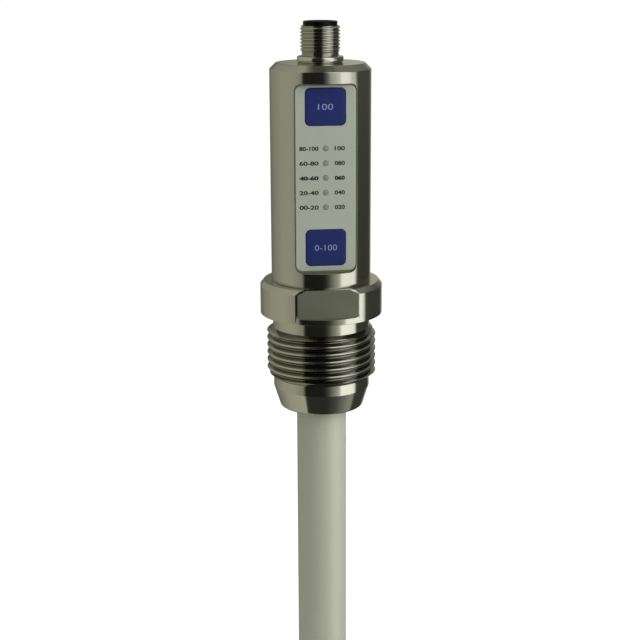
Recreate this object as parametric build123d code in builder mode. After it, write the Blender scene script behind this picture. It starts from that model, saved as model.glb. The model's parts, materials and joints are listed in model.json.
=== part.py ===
from build123d import *
import os
from math import cos, radians, sin, sqrt, tan

# Capacitive level sensor: a steel head with a keypad, an M12 plug inlet on top,
# a G 1 screw-in fitting below it and a plastic-covered rod probe.
# The origin is on the axis at the underside of the spanner collar, which seals on the vessel.
# +Z runs up to the plug inlet and the keypad faces -Y. Sizes are in millimetres.

# Clearances
slip_clearance = 0.05          # between turned pieces that slide together, on the radius
seal_clearance = 0.02          # between a sealing ring and its groove
board_clearance = 0.4          # between a circuit board and the housing bore

# Process fitting: spanner collar
collar_r = 18.5
collar_height = 10.2
collar_chamfer_width = 1.2
collar_chamfer_height = 1.45
collar_edge_break = 0.1
spanner_width = 32.0
spanner_flat_bottom = 1.7      # height of the full round rim left below the flats
spanner_flat_corner_r = 1.3
spanner_cutter_overrun = 0.3

# Process fitting: thread G 1 and nose
neck_r = 14.75
neck_length = 4.2
thread_major_r = 33.249 / 2
thread_depth = 1.479
thread_pitch = 2.309
thread_flank_angle = 27.5
thread_crests = 7
thread_length = 15.7           # from the neck to the nose, with the bevel at each end
nose_r = 14.65
nose_length = 3.1
cone_length = 6.5
cone_end_r = 12.6
nose_edge_r = 0.6

# Probe
sheath_r = 7.65
sheath_reach = 120.0           # length below the nose
sheath_end_wall = 5.0
sheath_end_r = 2.5
sheath_head_thickness = 3.0
sheath_head_depth = 8.0        # how far below the collar's underside the head sits
sheath_head_seat = 1.3         # width of the shoulder in the fitting that the head stands on
electrode_r = 4.0
stud_r = 2.5
stud_length = 9.5
rod_seal_section_r = 0.62
rod_seal_spacing = 6.0
rod_seal_groove_margin = 0.3

# Bush, nuts and tag on the electrode's upper end
bush_flange_thickness = 7.0
bush_neck_wall = 2.3
bush_neck_length = 6.5
bush_web = 2.5
clamp_nut_thickness = 6.0
clamp_nut_slot_width = 2.0
clamp_nut_slot_depth = 2.0
washer_r = 4.6
washer_thickness = 0.8
tag_thickness = 0.5
tag_width = 3.0
tag_height = 13.0
stud_nut_flats = 8.0
stud_nut_height = 4.0
tag_nut_gap = 0.2

# Housing
housing_r = 15.0
housing_length = 64.9
housing_chamfer = 1.8
top_wall = 4.0
spigot_height = 2.6
socket_wall = 2.5              # housing wall round the fitting's spigot
fitting_seal_section_r = 0.5
fitting_seal_groove_margin = 0.2
key_web = 0.7                  # housing wall left behind a key

# Keypad panel
panel_width = 17.7
panel_foot = 4.95              # from the housing's lower end to the panel
panel_head = 5.5               # from the panel to the housing's upper end
panel_thickness = 0.4
panel_corner_r = 2.0           # of the pocket too
pocket_depth = 3.39            # at the middle of the housing's front
panel_end_gap = 0.45           # between the panel and the pocket's ends
panel_side_gap = 0.3

# Keys
key_window_width = 12.0
key_window_height = 11.0
key_window_corner_r = 1.6
key_window_top_margin = 0.7    # from the panel's end to the window
key_window_foot_margin = 1.55
key_gap = 0.15                 # round the key in its window
key_proud = 0.2
key_edge_r = 0.08
key_flange_reach = 0.3         # how far the flange reaches behind the panel
key_flange_thickness = 0.35
key_flange_play = 0.1
key_recess_gap = 0.25
key_travel = 0.3
key_bottom_gap = 0.15          # left under the flange when the key is pressed
stem_r = 1.5
stem_clearance = 0.2

# Push switches behind the keys
switch_size = 6.0
switch_height = 2.0
plunger_r = 1.25
plunger_length = 1.2
plunger_proud = 0.6
plunger_clearance = 0.1
plunger_bottom_gap = 0.3

# Lamps and their light guides
lamp_count = 5
lamp_pitch = 4.3
lamp_row_rise = 0.42           # of the row's middle over the panel's middle
guide_r = 0.8
guide_flange_r = 1.5
guide_flange_thickness = 0.8
guide_tail_r = 1.1
lamp_width = 2.0
lamp_length = 1.3
lamp_base_height = 0.7
lamp_dome_r = 0.55
lamp_height = 1.7
lamp_guide_gap = 0.3

# Circuit boards
keypad_board_depth = 4.5       # from the front of the housing's bore
board_thickness = 1.2
keypad_board_margin = 0.6      # above the upper switch
connector_board_thickness = 1.0
connector_board_gap = 0.5      # to the keypad board
header_length = 12.7
header_width = 5.08
shield_height = 2.8
shield_length = 14.0
shield_foot = 24.0             # above the collar's top
processor_size = 7.0
processor_height = 1.2
processor_drop = 8.0           # below the connector board
holder_height = 5.2
holder_wall = 3.5
holder_flange_thickness = 0.8
holder_slot_depth = 2.0

# M12 plug inlet
inlet_thread_r = 6.0
inlet_thread_length = 7.6
inlet_thread_chamfer = 0.5
inlet_neck_r = 5.4
inlet_neck_length = 1.1
inlet_flange_r = 6.85
inlet_flange_height = 1.9
inlet_flange_edge_r = 0.5
inlet_shank_r = 5.0
inlet_shank_below_wall = 3.6
inlet_nut_flats = 13.0
inlet_nut_height = 2.5
inlet_bore_r = 4.9
inlet_tail_bore_r = 4.25
inlet_seal_section_r = 0.4
inlet_seal_recess_margin = 0.05
carrier_rim_r = 5.23
carrier_rim_height = 1.3
carrier_rim_edge = 0.2
carrier_cup_r = 4.3
carrier_cup_depth = 8.0
carrier_below_shank = 0.6
coding_rib_width = 1.0
coding_rib_height = 0.7
coding_rib_below_rim = 1.0
contact_r = 0.5
contact_tail_r = 0.4
contact_circle_r = 2.5
contact_count = 4              # on the circle, and one more in the middle
contact_below_rim = 1.7
contact_tip = 0.2
contact_to_board = 1.5
contact_tail_proud = 0.8

# Heights that follow
collar_top = collar_height
spigot_top = collar_top + spigot_height
housing_top = collar_top + housing_length
bore_top = housing_top - top_wall
socket_top = spigot_top + holder_flange_thickness + 2 * slip_clearance
panel_height = housing_length - panel_foot - panel_head
panel_z = collar_top + panel_foot + panel_height / 2
key_reach = panel_height / 2 - key_window_height / 2
key_places = {
    "upper": panel_z + key_reach - key_window_top_margin,
    "lower": panel_z - key_reach + key_window_foot_margin,
}
lamp_top_z = panel_z + lamp_row_rise + lamp_pitch * (lamp_count - 1) / 2
lamp_heights = [lamp_top_z - lamp_pitch * row for row in range(lamp_count)]

# Distances from the axis towards the keypad that follow
pocket_floor = housing_r - pocket_depth
pocket_height = panel_height + 2 * panel_end_gap
pocket_width = panel_width + 2 * panel_side_gap
panel_face = pocket_floor + panel_thickness
key_face = panel_face + key_proud
key_flange_front = pocket_floor - key_flange_play
key_flange_back = key_flange_front - key_flange_thickness
key_recess_floor = key_flange_back - key_travel - key_bottom_gap
bore_r = key_recess_floor - key_web
keypad_board_front = bore_r - keypad_board_depth
switch_face = keypad_board_front + switch_height
stem_end = switch_face + plunger_proud
keypad_board_back = keypad_board_front - board_thickness
guide_flange_front = sqrt(bore_r**2 - guide_flange_r**2) - slip_clearance
guide_end = keypad_board_front + lamp_height + lamp_guide_gap
main_board_rear = stud_nut_flats / 2 + tag_nut_gap
main_board_front = main_board_rear - board_thickness

# Radii that follow
spigot_r = housing_r - socket_wall
socket_r = spigot_r + slip_clearance
sheath_bore_r = sheath_r + slip_clearance
cavity_r = sheath_bore_r + sheath_head_seat
thread_minor_r = thread_major_r - thread_depth
fitting_seal_groove_r = socket_r - 2 * fitting_seal_section_r - seal_clearance
fitting_seal_groove_width = 2 * (fitting_seal_section_r + fitting_seal_groove_margin)
rod_seal_groove_r = sheath_r + 2 * rod_seal_section_r + 2 * seal_clearance
rod_seal_groove_width = 2 * (rod_seal_section_r + rod_seal_groove_margin)
inlet_hole_r = inlet_shank_r + slip_clearance
inlet_seal_recess_r = inlet_shank_r + 2 * (inlet_seal_section_r + inlet_seal_recess_margin)
inlet_seal_recess_depth = 2 * (inlet_seal_section_r + inlet_seal_recess_margin)

# Heights of the thread, the nose and the probe
flank_length = thread_depth * tan(radians(thread_flank_angle))
crest_width = thread_pitch / 2 - flank_length
thread_end = -neck_length - thread_length
first_crest_z = (thread_end - neck_length + (thread_crests - 1) * thread_pitch) / 2
cone_top = thread_end - nose_length
nose_bottom = cone_top - cone_length
head_seat = -sheath_head_depth
head_top = head_seat + sheath_head_thickness
sheath_end = nose_bottom - sheath_reach
bush_shoulder = head_top + bush_flange_thickness
bush_top = bush_shoulder + bush_neck_length
stud_foot = bush_top - bush_web
washer_top = bush_top + washer_thickness
tag_top = washer_top + tag_thickness
rod_seal_heights = {
    "upper": head_seat - rod_seal_spacing,
    "lower": head_seat - 2 * rod_seal_spacing,
}

# Heights of the plug inlet and the boards
inlet_flange_top = housing_top + inlet_flange_height
inlet_thread_foot = inlet_flange_top + inlet_neck_length
inlet_top = inlet_thread_foot + inlet_thread_length
rim_top = inlet_top + carrier_rim_height
cup_floor = rim_top - carrier_cup_depth
shank_end = bore_top - inlet_shank_below_wall
carrier_end = shank_end - carrier_below_shank
connector_board_top = carrier_end - contact_to_board
connector_board_bottom = connector_board_top - connector_board_thickness
holder_top = spigot_top + holder_height
board_bottom = holder_top - holder_slot_depth
keypad_board_top = key_places["upper"] + switch_size / 2 + keypad_board_margin

os.makedirs("parts", exist_ok=True)


def front_plane(distance):
    """A plane facing the keypad side, at a distance from the axis; its own y runs up."""
    return Plane(origin=(0, -distance, 0), x_dir=(1, 0, 0), z_dir=(0, -1, 0))


def back_plane(distance):
    """The same on the far side, facing away from the keypad."""
    return Plane(origin=(0, distance, 0), x_dir=(-1, 0, 0), z_dir=(0, 1, 0))


def half_chord(radius, distance):
    """Half the width of a circle, measured at a distance from its centre."""
    return sqrt(radius**2 - distance**2)


def groove(radius, depth_radius, z, width, downwards):
    """Four outline points of a square groove in a turned wall."""
    lower, upper = z - width / 2, z + width / 2
    first, last = (upper, lower) if downwards else (lower, upper)
    return [(radius, first), (depth_radius, first), (depth_radius, last), (radius, last)]


def thread_outline():
    """Crests and roots of the pipe thread, from the neck down, as rings at the thread's pitch."""
    points = []
    for turn in range(thread_crests):
        crest_z = first_crest_z - turn * thread_pitch
        points.append((thread_major_r, crest_z + crest_width / 2))
        points.append((thread_major_r, crest_z - crest_width / 2))
        root_z = crest_z - crest_width / 2 - flank_length
        if turn < thread_crests - 1:
            points.append((thread_minor_r, root_z))
            points.append((thread_minor_r, root_z - crest_width))
    return points


# Process fitting: spigot, spanner collar, neck, thread and nose, turned from one bar
fitting_seal_z = collar_top + spigot_height / 2
fitting_outside = [
    (cavity_r, spigot_top),
    (spigot_r, spigot_top),
    *groove(spigot_r, fitting_seal_groove_r, fitting_seal_z, fitting_seal_groove_width, True),
    (spigot_r, collar_top),
    (collar_r - collar_chamfer_width, collar_top),
    (collar_r, collar_top - collar_chamfer_height),
    (collar_r, collar_edge_break),
    (collar_r - collar_edge_break, 0),
    (neck_r, 0),
    (neck_r, -neck_length),
    *thread_outline(),
    (nose_r, thread_end),
    (nose_r, cone_top),
    (cone_end_r, nose_bottom),
]
fitting_inside = [
    (sheath_bore_r, nose_bottom),
    *groove(sheath_bore_r, rod_seal_groove_r, rod_seal_heights["lower"], rod_seal_groove_width, False),
    *groove(sheath_bore_r, rod_seal_groove_r, rod_seal_heights["upper"], rod_seal_groove_width, False),
    (sheath_bore_r, head_seat),
    (cavity_r, head_seat),
]
spanner_flat_width = 2 * half_chord(collar_r, spanner_width / 2) + 2 * spanner_cutter_overrun
spanner_cutter_top = collar_top + 2 * spanner_flat_corner_r
spanner_cutter_height = spanner_cutter_top - spanner_flat_bottom
spanner_cutter_z = (spanner_cutter_top + spanner_flat_bottom) / 2
with BuildPart() as process_fitting:
    with BuildSketch(Plane.XZ):
        with BuildLine():
            Polyline(*fitting_outside, *fitting_inside, close=True)
        make_face()
    revolve(axis=Axis.Z)
    for plane in (front_plane(spanner_width / 2), back_plane(spanner_width / 2)):
        with BuildSketch(plane):
            with Locations((0, spanner_cutter_z)):
                RectangleRounded(spanner_flat_width, spanner_cutter_height, spanner_flat_corner_r)
        extrude(amount=collar_r, mode=Mode.SUBTRACT)
    nose_edges = process_fitting.edges().filter_by(GeomType.CIRCLE).group_by(Axis.Z)[0]
    fillet(nose_edges.sort_by(SortBy.RADIUS)[-1], radius=nose_edge_r)
process_fitting.part.label = "process_fitting"
export_step(process_fitting.part, "parts/process_fitting.step")

# Housing: a turned tube with a closed, chamfered top and a milled pocket for the keypad
housing_profile = [
    (socket_r, collar_top),
    (housing_r, collar_top),
    (housing_r, housing_top - housing_chamfer),
    (housing_r - housing_chamfer, housing_top),
    (inlet_seal_recess_r, housing_top),
    (inlet_seal_recess_r, housing_top - inlet_seal_recess_depth),
    (inlet_hole_r, housing_top - inlet_seal_recess_depth),
    (inlet_hole_r, bore_top),
    (bore_r, bore_top),
    (bore_r, socket_top),
    (socket_r, socket_top),
]
key_width = key_window_width - 2 * key_gap
key_height = key_window_height - 2 * key_gap
key_corner_r = key_window_corner_r - key_gap
key_flange_width = key_window_width + 2 * key_flange_reach
key_flange_height = key_window_height + 2 * key_flange_reach
key_flange_corner_r = key_window_corner_r + key_flange_reach
with BuildPart() as housing:
    with BuildSketch(Plane.XZ):
        with BuildLine():
            Polyline(*housing_profile, close=True)
        make_face()
    revolve(axis=Axis.Z)
    with BuildSketch(front_plane(pocket_floor)):
        with Locations((0, panel_z)):
            RectangleRounded(pocket_width, pocket_height, panel_corner_r)
    extrude(amount=housing_r, mode=Mode.SUBTRACT)
    with BuildSketch(front_plane(key_recess_floor)):
        with Locations(*[(0, z) for z in key_places.values()]):
            RectangleRounded(
                key_flange_width + 2 * key_recess_gap,
                key_flange_height + 2 * key_recess_gap,
                key_flange_corner_r + key_recess_gap,
            )
    extrude(amount=housing_r, mode=Mode.SUBTRACT)
    with BuildSketch(front_plane(0)):
        with Locations(*[(0, z) for z in key_places.values()]):
            Circle(stem_r + stem_clearance)
        with Locations(*[(0, z) for z in lamp_heights]):
            Circle(guide_r + slip_clearance)
    extrude(amount=housing_r, mode=Mode.SUBTRACT)
housing.part.label = "housing"
export_step(housing.part, "parts/housing.step")

# Keypad panel: a printed plate bonded in the pocket, with two key windows and the lamp holes
with BuildPart() as keypad_panel:
    with BuildSketch(front_plane(pocket_floor)):
        with Locations((0, panel_z)):
            RectangleRounded(panel_width, panel_height, panel_corner_r)
        with Locations(*[(0, z) for z in key_places.values()]):
            RectangleRounded(
                key_window_width, key_window_height, key_window_corner_r, mode=Mode.SUBTRACT
            )
        with Locations(*[(0, z) for z in lamp_heights]):
            Circle(guide_r + slip_clearance, mode=Mode.SUBTRACT)
    extrude(amount=panel_thickness)
keypad_panel.part.label = "keypad_panel"
export_step(keypad_panel.part, "parts/keypad_panel.step")

for place, z in key_places.items():
    # Key: a blue cap with a flange that the panel holds in, and a stem through the wall
    with BuildPart() as key:
        with BuildSketch(front_plane(key_flange_back)):
            with Locations((0, z)):
                RectangleRounded(key_flange_width, key_flange_height, key_flange_corner_r)
        extrude(amount=key_flange_thickness)
        with BuildSketch(front_plane(key_flange_front)):
            with Locations((0, z)):
                RectangleRounded(key_width, key_height, key_corner_r)
        extrude(amount=key_face - key_flange_front)
        fillet(key.faces().sort_by(Axis.Y)[0].edges(), radius=key_edge_r)
        with BuildSketch(front_plane(stem_end)):
            with Locations((0, z)):
                Circle(stem_r)
        extrude(amount=key_flange_back - stem_end)
    key.part.label = f"{place}_key"
    export_step(key.part, f"parts/{place}_key.step")

    # Push switch: a square base on the keypad board, bored for its plunger
    plunger_hole_depth = plunger_length - plunger_proud + key_travel + plunger_bottom_gap
    with BuildPart() as switch:
        with BuildSketch(front_plane(keypad_board_front)):
            with Locations((0, z)):
                Rectangle(switch_size, switch_size)
        extrude(amount=switch_height)
        with BuildSketch(front_plane(switch_face - plunger_hole_depth)):
            with Locations((0, z)):
                Circle(plunger_r + plunger_clearance)
        extrude(amount=plunger_hole_depth, mode=Mode.SUBTRACT)
    switch.part.label = f"{place}_switch"
    export_step(switch.part, f"parts/{place}_switch.step")

    # Switch plunger, which the key's stem stands on
    with BuildPart() as plunger:
        with BuildSketch(front_plane(stem_end - plunger_length)):
            with Locations((0, z)):
                Circle(plunger_r)
        extrude(amount=plunger_length)
    plunger.part.label = f"{place}_plunger"
    export_step(plunger.part, f"parts/{place}_plunger.step")

for row, z in enumerate(lamp_heights, start=1):
    # Light guide: its face is flush with the panel, its flange lies behind the housing wall
    guide_profile = [
        (0, guide_end),
        (guide_tail_r, guide_end),
        (guide_tail_r, guide_flange_front - guide_flange_thickness),
        (guide_flange_r, guide_flange_front - guide_flange_thickness),
        (guide_flange_r, guide_flange_front),
        (guide_r, guide_flange_front),
        (guide_r, panel_face),
        (0, panel_face),
    ]
    with BuildPart() as light_guide:
        with BuildSketch(Plane.XY.offset(z)):
            with BuildLine():
                Polyline(*[(radius, -distance) for radius, distance in guide_profile], close=True)
            make_face()
        revolve(axis=Axis((0, 0, z), (0, 1, 0)))
    light_guide.part.label = f"light_guide_{row}"
    export_step(light_guide.part, f"parts/light_guide_{row}.step")

    # Lamp: a small base with a clear dome, on the keypad board behind its guide
    with BuildPart() as lamp:
        with BuildSketch(front_plane(keypad_board_front)):
            with Locations((0, z)):
                Rectangle(lamp_width, lamp_length)
        extrude(amount=lamp_base_height)
        with BuildSketch(front_plane(keypad_board_front + lamp_base_height)):
            with Locations((0, z)):
                Circle(lamp_dome_r)
        extrude(amount=lamp_height - lamp_base_height)
        fillet(lamp.faces().sort_by(Axis.Y)[0].edges(), radius=lamp_dome_r / 2)
    lamp.part.label = f"lamp_{row}"
    export_step(lamp.part, f"parts/lamp_{row}.step")

# Keypad board, upright behind the keypad
with BuildPart() as keypad_board:
    with BuildSketch(front_plane(keypad_board_back)):
        with Locations((0, (board_bottom + keypad_board_top) / 2)):
            Rectangle(
                2 * (half_chord(bore_r, keypad_board_front) - board_clearance),
                keypad_board_top - board_bottom,
            )
    extrude(amount=board_thickness)
keypad_board.part.label = "keypad_board"
export_step(keypad_board.part, "parts/keypad_board.step")

# Main board, upright on the other side of the axis, up to the connector board
with BuildPart() as main_board:
    with BuildSketch(back_plane(main_board_front)):
        with Locations((0, (board_bottom + connector_board_bottom) / 2)):
            Rectangle(
                2 * (half_chord(bore_r, main_board_rear) - board_clearance),
                connector_board_bottom - board_bottom,
            )
    extrude(amount=board_thickness)
main_board.part.label = "main_board"
export_step(main_board.part, "parts/main_board.step")

# Header block that joins the two upright boards
with BuildPart() as board_header:
    with BuildSketch(front_plane(-main_board_front)):
        with Locations((0, panel_z)):
            Rectangle(header_length, header_width)
    extrude(amount=main_board_front + keypad_board_back)
board_header.part.label = "board_header"
export_step(board_header.part, "parts/board_header.step")

# Shield can over the measuring circuit, on the rear of the main board
shield_face = main_board_rear + shield_height
with BuildPart() as shield_can:
    with BuildSketch(back_plane(main_board_rear)):
        with Locations((0, collar_top + shield_foot)):
            Rectangle(2 * half_chord(bore_r - board_clearance, shield_face), shield_length)
    extrude(amount=shield_height)
shield_can.part.label = "shield_can"
export_step(shield_can.part, "parts/shield_can.step")

# Processor on the front of the main board
with BuildPart() as processor:
    with BuildSketch(back_plane(main_board_front)):
        with Locations((0, connector_board_bottom - processor_drop)):
            Rectangle(processor_size, processor_size)
    extrude(amount=-processor_height)
processor.part.label = "processor"
export_step(processor.part, "parts/processor.step")

# Board holder: a moulded ring with a flange that the housing's shoulder holds down on the
# fitting's spigot, slotted for the two upright boards
with BuildPart() as board_holder:
    with BuildSketch(Plane.XY.offset(spigot_top)):
        Circle(socket_r - 2 * slip_clearance)
    extrude(amount=holder_flange_thickness)
    with BuildSketch(Plane.XY.offset(spigot_top)):
        Circle(bore_r - 2 * slip_clearance)
    extrude(amount=holder_height)
    with BuildSketch(Plane.XY.offset(spigot_top)):
        Circle(bore_r - holder_wall)
    extrude(amount=holder_height, mode=Mode.SUBTRACT)
    with BuildSketch(Plane.XY.offset(board_bottom)):
        with Locations((0, -keypad_board_back - board_thickness / 2)):
            Rectangle(2 * bore_r, board_thickness + 2 * slip_clearance)
        with Locations((0, main_board_front + board_thickness / 2)):
            Rectangle(2 * bore_r, board_thickness + 2 * slip_clearance)
    extrude(amount=holder_slot_depth, mode=Mode.SUBTRACT)
board_holder.part.label = "board_holder"
export_step(board_holder.part, "parts/board_holder.step")

# Inlet shell: shank through the housing top, round flange, neck and M12 thread stub
shell_profile = [
    (inlet_tail_bore_r, shank_end),
    (inlet_shank_r, shank_end),
    (inlet_shank_r, housing_top),
    (inlet_flange_r, housing_top),
    (inlet_flange_r, inlet_flange_top),
    (inlet_neck_r, inlet_flange_top),
    (inlet_neck_r, inlet_thread_foot),
    (inlet_thread_r, inlet_thread_foot),
    (inlet_thread_r, inlet_top - inlet_thread_chamfer),
    (inlet_thread_r - inlet_thread_chamfer, inlet_top),
    (inlet_bore_r, inlet_top),
    (inlet_bore_r, inlet_thread_foot),
    (inlet_tail_bore_r, inlet_thread_foot),
]
with BuildPart() as inlet_shell:
    with BuildSketch(Plane.XZ):
        with BuildLine():
            Polyline(*shell_profile, close=True)
        make_face()
    revolve(axis=Axis.Z)
    flange_edges = inlet_shell.edges().filter_by(GeomType.CIRCLE).group_by(SortBy.RADIUS)[-1]
    fillet(flange_edges, radius=inlet_flange_edge_r)
inlet_shell.part.label = "inlet_shell"
export_step(inlet_shell.part, "parts/inlet_shell.step")

# Nut on the shank, inside the housing
with BuildPart() as inlet_nut:
    with BuildSketch(Plane.XY.offset(bore_top)):
        RegularPolygon(inlet_nut_flats / 2, 6, major_radius=False)
        Circle(inlet_shank_r + seal_clearance, mode=Mode.SUBTRACT)
    extrude(amount=-inlet_nut_height)
inlet_nut.part.label = "inlet_nut"
export_step(inlet_nut.part, "parts/inlet_nut.step")

# Sealing ring under the flange, in the housing's top
with BuildPart() as inlet_seal:
    with BuildSketch(Plane.XZ):
        with Locations(
            (
                inlet_shank_r + inlet_seal_section_r + inlet_seal_recess_margin,
                housing_top - inlet_seal_section_r - inlet_seal_recess_margin,
            )
        ):
            Circle(inlet_seal_section_r)
    revolve(axis=Axis.Z)
inlet_seal.part.label = "inlet_seal"
export_step(inlet_seal.part, "parts/inlet_seal.step")

# Contacts: five turned pins, four on a circle and one in the middle
contact_angles = [radians(360 / contact_count * (step + 0.5)) for step in range(contact_count)]
circle_places = [(contact_circle_r * cos(turn), contact_circle_r * sin(turn)) for turn in contact_angles]
contact_places = [*circle_places, (0, 0)]

# Contact carrier: the black moulding in the shell, with a cup for the plug and a coding rib
carrier_profile = [
    (0, carrier_end),
    (inlet_tail_bore_r - slip_clearance, carrier_end),
    (inlet_tail_bore_r - slip_clearance, inlet_thread_foot),
    (inlet_bore_r - slip_clearance, inlet_thread_foot),
    (inlet_bore_r - slip_clearance, inlet_top),
    (carrier_rim_r, inlet_top),
    (carrier_rim_r, rim_top - carrier_rim_edge),
    (carrier_rim_r - carrier_rim_edge, rim_top),
    (carrier_cup_r, rim_top),
    (carrier_cup_r, cup_floor),
    (0, cup_floor),
]
rib_length = carrier_cup_depth - coding_rib_below_rim
with BuildPart() as contact_carrier:
    with BuildSketch(Plane.XZ):
        with BuildLine():
            Polyline(*carrier_profile, close=True)
        make_face()
    revolve(axis=Axis.Z)
    with BuildSketch(Plane.XY.offset(cup_floor)):
        with Locations((0, -carrier_cup_r)):
            Rectangle(coding_rib_width, 2 * coding_rib_height)
        Circle((carrier_cup_r + inlet_bore_r) / 2, mode=Mode.INTERSECT)
    extrude(amount=rib_length)
    with BuildSketch(Plane.XY.offset(carrier_end)):
        with Locations(*contact_places):
            Circle(contact_r + seal_clearance)
    extrude(amount=cup_floor - carrier_end, mode=Mode.SUBTRACT)
contact_carrier.part.label = "contact_carrier"
export_step(contact_carrier.part, "parts/contact_carrier.step")

contact_top = rim_top - contact_below_rim
contact_tail_end = connector_board_bottom - contact_tail_proud
contact_profile = [
    (0, contact_tail_end),
    (contact_tail_r, contact_tail_end),
    (contact_tail_r, carrier_end),
    (contact_r, carrier_end),
    (contact_r, contact_top - contact_tip),
    (contact_r - contact_tip, contact_top),
    (0, contact_top),
]
for number, (x, y) in enumerate(contact_places, start=1):
    with BuildPart() as contact:
        with BuildSketch(Plane(origin=(x, y, 0), x_dir=(1, 0, 0), z_dir=(0, -1, 0))):
            with BuildLine():
                Polyline(*contact_profile, close=True)
            make_face()
        revolve(axis=Axis((x, y, 0), (0, 0, 1)))
    contact.part.label = f"contact_{number}"
    export_step(contact.part, f"parts/contact_{number}.step")

# Connector board: a round board under the contacts, cut straight to clear the keypad board
connector_board_r = bore_r - board_clearance
connector_board_edge = keypad_board_back - connector_board_gap
with BuildPart() as connector_board:
    with BuildSketch(Plane.XY.offset(connector_board_bottom)):
        Circle(connector_board_r)
        with Locations((0, -connector_board_edge)):
            Rectangle(
                2 * connector_board_r,
                connector_board_r,
                align=(Align.CENTER, Align.MAX),
                mode=Mode.SUBTRACT,
            )
        with Locations(*contact_places):
            Circle(contact_tail_r + slip_clearance, mode=Mode.SUBTRACT)
    extrude(amount=connector_board_thickness)
connector_board.part.label = "connector_board"
export_step(connector_board.part, "parts/connector_board.step")

# Sealing ring on the fitting's spigot, inside the housing
with BuildPart() as fitting_seal:
    with BuildSketch(Plane.XZ):
        with Locations((socket_r - fitting_seal_section_r - seal_clearance / 2, fitting_seal_z)):
            Circle(fitting_seal_section_r)
    revolve(axis=Axis.Z)
fitting_seal.part.label = "fitting_seal"
export_step(fitting_seal.part, "parts/fitting_seal.step")

for place, z in rod_seal_heights.items():
    # Sealing ring between the sheath and the fitting
    with BuildPart() as rod_seal:
        with BuildSketch(Plane.XZ):
            with Locations((sheath_r + rod_seal_section_r + seal_clearance, z)):
                Circle(rod_seal_section_r)
        revolve(axis=Axis.Z)
    rod_seal.part.label = f"{place}_rod_seal"
    export_step(rod_seal.part, f"parts/{place}_rod_seal.step")

# Rod sheath: a white plastic tube with a closed, rounded end and a head inside the fitting
sheath_profile = [
    (0, sheath_end),
    (sheath_r, sheath_end),
    (sheath_r, head_seat),
    (cavity_r - 2 * slip_clearance, head_seat),
    (cavity_r - 2 * slip_clearance, head_top),
    (electrode_r + slip_clearance, head_top),
    (electrode_r + slip_clearance, sheath_end + sheath_end_wall),
    (0, sheath_end + sheath_end_wall),
]
with BuildPart() as rod_sheath:
    with BuildSketch(Plane.XZ):
        with BuildLine():
            Polyline(*sheath_profile, close=True)
        make_face()
    revolve(axis=Axis.Z)
    fillet(rod_sheath.faces().sort_by(Axis.Z)[0].edges(), radius=sheath_end_r)
rod_sheath.part.label = "rod_sheath"
export_step(rod_sheath.part, "parts/rod_sheath.step")

# Electrode: the metal rod inside the sheath, with a thinner stud at its upper end
electrode_profile = [
    (0, sheath_end + sheath_end_wall),
    (electrode_r, sheath_end + sheath_end_wall),
    (electrode_r, stud_foot),
    (stud_r, stud_foot),
    (stud_r, stud_foot + stud_length),
    (0, stud_foot + stud_length),
]
with BuildPart() as electrode:
    with BuildSketch(Plane.XZ):
        with BuildLine():
            Polyline(*electrode_profile, close=True)
        make_face()
    revolve(axis=Axis.Z)
electrode.part.label = "electrode"
export_step(electrode.part, "parts/electrode.step")

# Insulating bush between the electrode and the fitting
bush_neck_r = electrode_r + bush_neck_wall
bush_profile = [
    (electrode_r + slip_clearance, head_top),
    (cavity_r - 2 * slip_clearance, head_top),
    (cavity_r - 2 * slip_clearance, bush_shoulder),
    (bush_neck_r, bush_shoulder),
    (bush_neck_r, bush_top),
    (stud_r + slip_clearance, bush_top),
    (stud_r + slip_clearance, stud_foot),
    (electrode_r + slip_clearance, stud_foot),
]
with BuildPart() as insulating_bush:
    with BuildSketch(Plane.XZ):
        with BuildLine():
            Polyline(*bush_profile, close=True)
        make_face()
    revolve(axis=Axis.Z)
insulating_bush.part.label = "insulating_bush"
export_step(insulating_bush.part, "parts/insulating_bush.step")

# Clamp nut: a ring that screws into the fitting and presses the bush on the sheath's head
with BuildPart() as clamp_nut:
    with BuildSketch(Plane.XY.offset(bush_shoulder)):
        Circle(cavity_r - slip_clearance)
        Circle(bush_neck_r + 2 * slip_clearance, mode=Mode.SUBTRACT)
    extrude(amount=clamp_nut_thickness)
    with BuildSketch(Plane.XY.offset(bush_shoulder + clamp_nut_thickness - clamp_nut_slot_depth)):
        Rectangle(2 * cavity_r, clamp_nut_slot_width)
    extrude(amount=clamp_nut_slot_depth, mode=Mode.SUBTRACT)
clamp_nut.part.label = "clamp_nut"
export_step(clamp_nut.part, "parts/clamp_nut.step")

# Washer, solder tag and nut on the electrode's stud
with BuildPart() as stud_washer:
    with BuildSketch(Plane.XY.offset(bush_top)):
        Circle(washer_r)
        Circle(stud_r + 2 * slip_clearance, mode=Mode.SUBTRACT)
    extrude(amount=washer_thickness)
stud_washer.part.label = "stud_washer"
export_step(stud_washer.part, "parts/stud_washer.step")

with BuildPart() as electrode_tag:
    with BuildSketch(Plane.XY.offset(washer_top)):
        Circle(stud_nut_flats / 2)
        with Locations((0, (main_board_rear + tag_thickness) / 2)):
            Rectangle(tag_width, main_board_rear + tag_thickness)
        Circle(stud_r + 2 * slip_clearance, mode=Mode.SUBTRACT)
    extrude(amount=tag_thickness)
    with BuildSketch(Plane.XY.offset(washer_top)):
        with Locations((0, main_board_rear + tag_thickness / 2)):
            Rectangle(tag_width, tag_thickness)
    extrude(amount=tag_height)
electrode_tag.part.label = "electrode_tag"
export_step(electrode_tag.part, "parts/electrode_tag.step")

with BuildPart() as stud_nut:
    with BuildSketch(Plane.XY.offset(tag_top)):
        RegularPolygon(stud_nut_flats / 2, 6, major_radius=False)
        Circle(stud_r + seal_clearance, mode=Mode.SUBTRACT)
    extrude(amount=stud_nut_height)
stud_nut.part.label = "stud_nut"
export_step(stud_nut.part, "parts/stud_nut.step")
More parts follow.
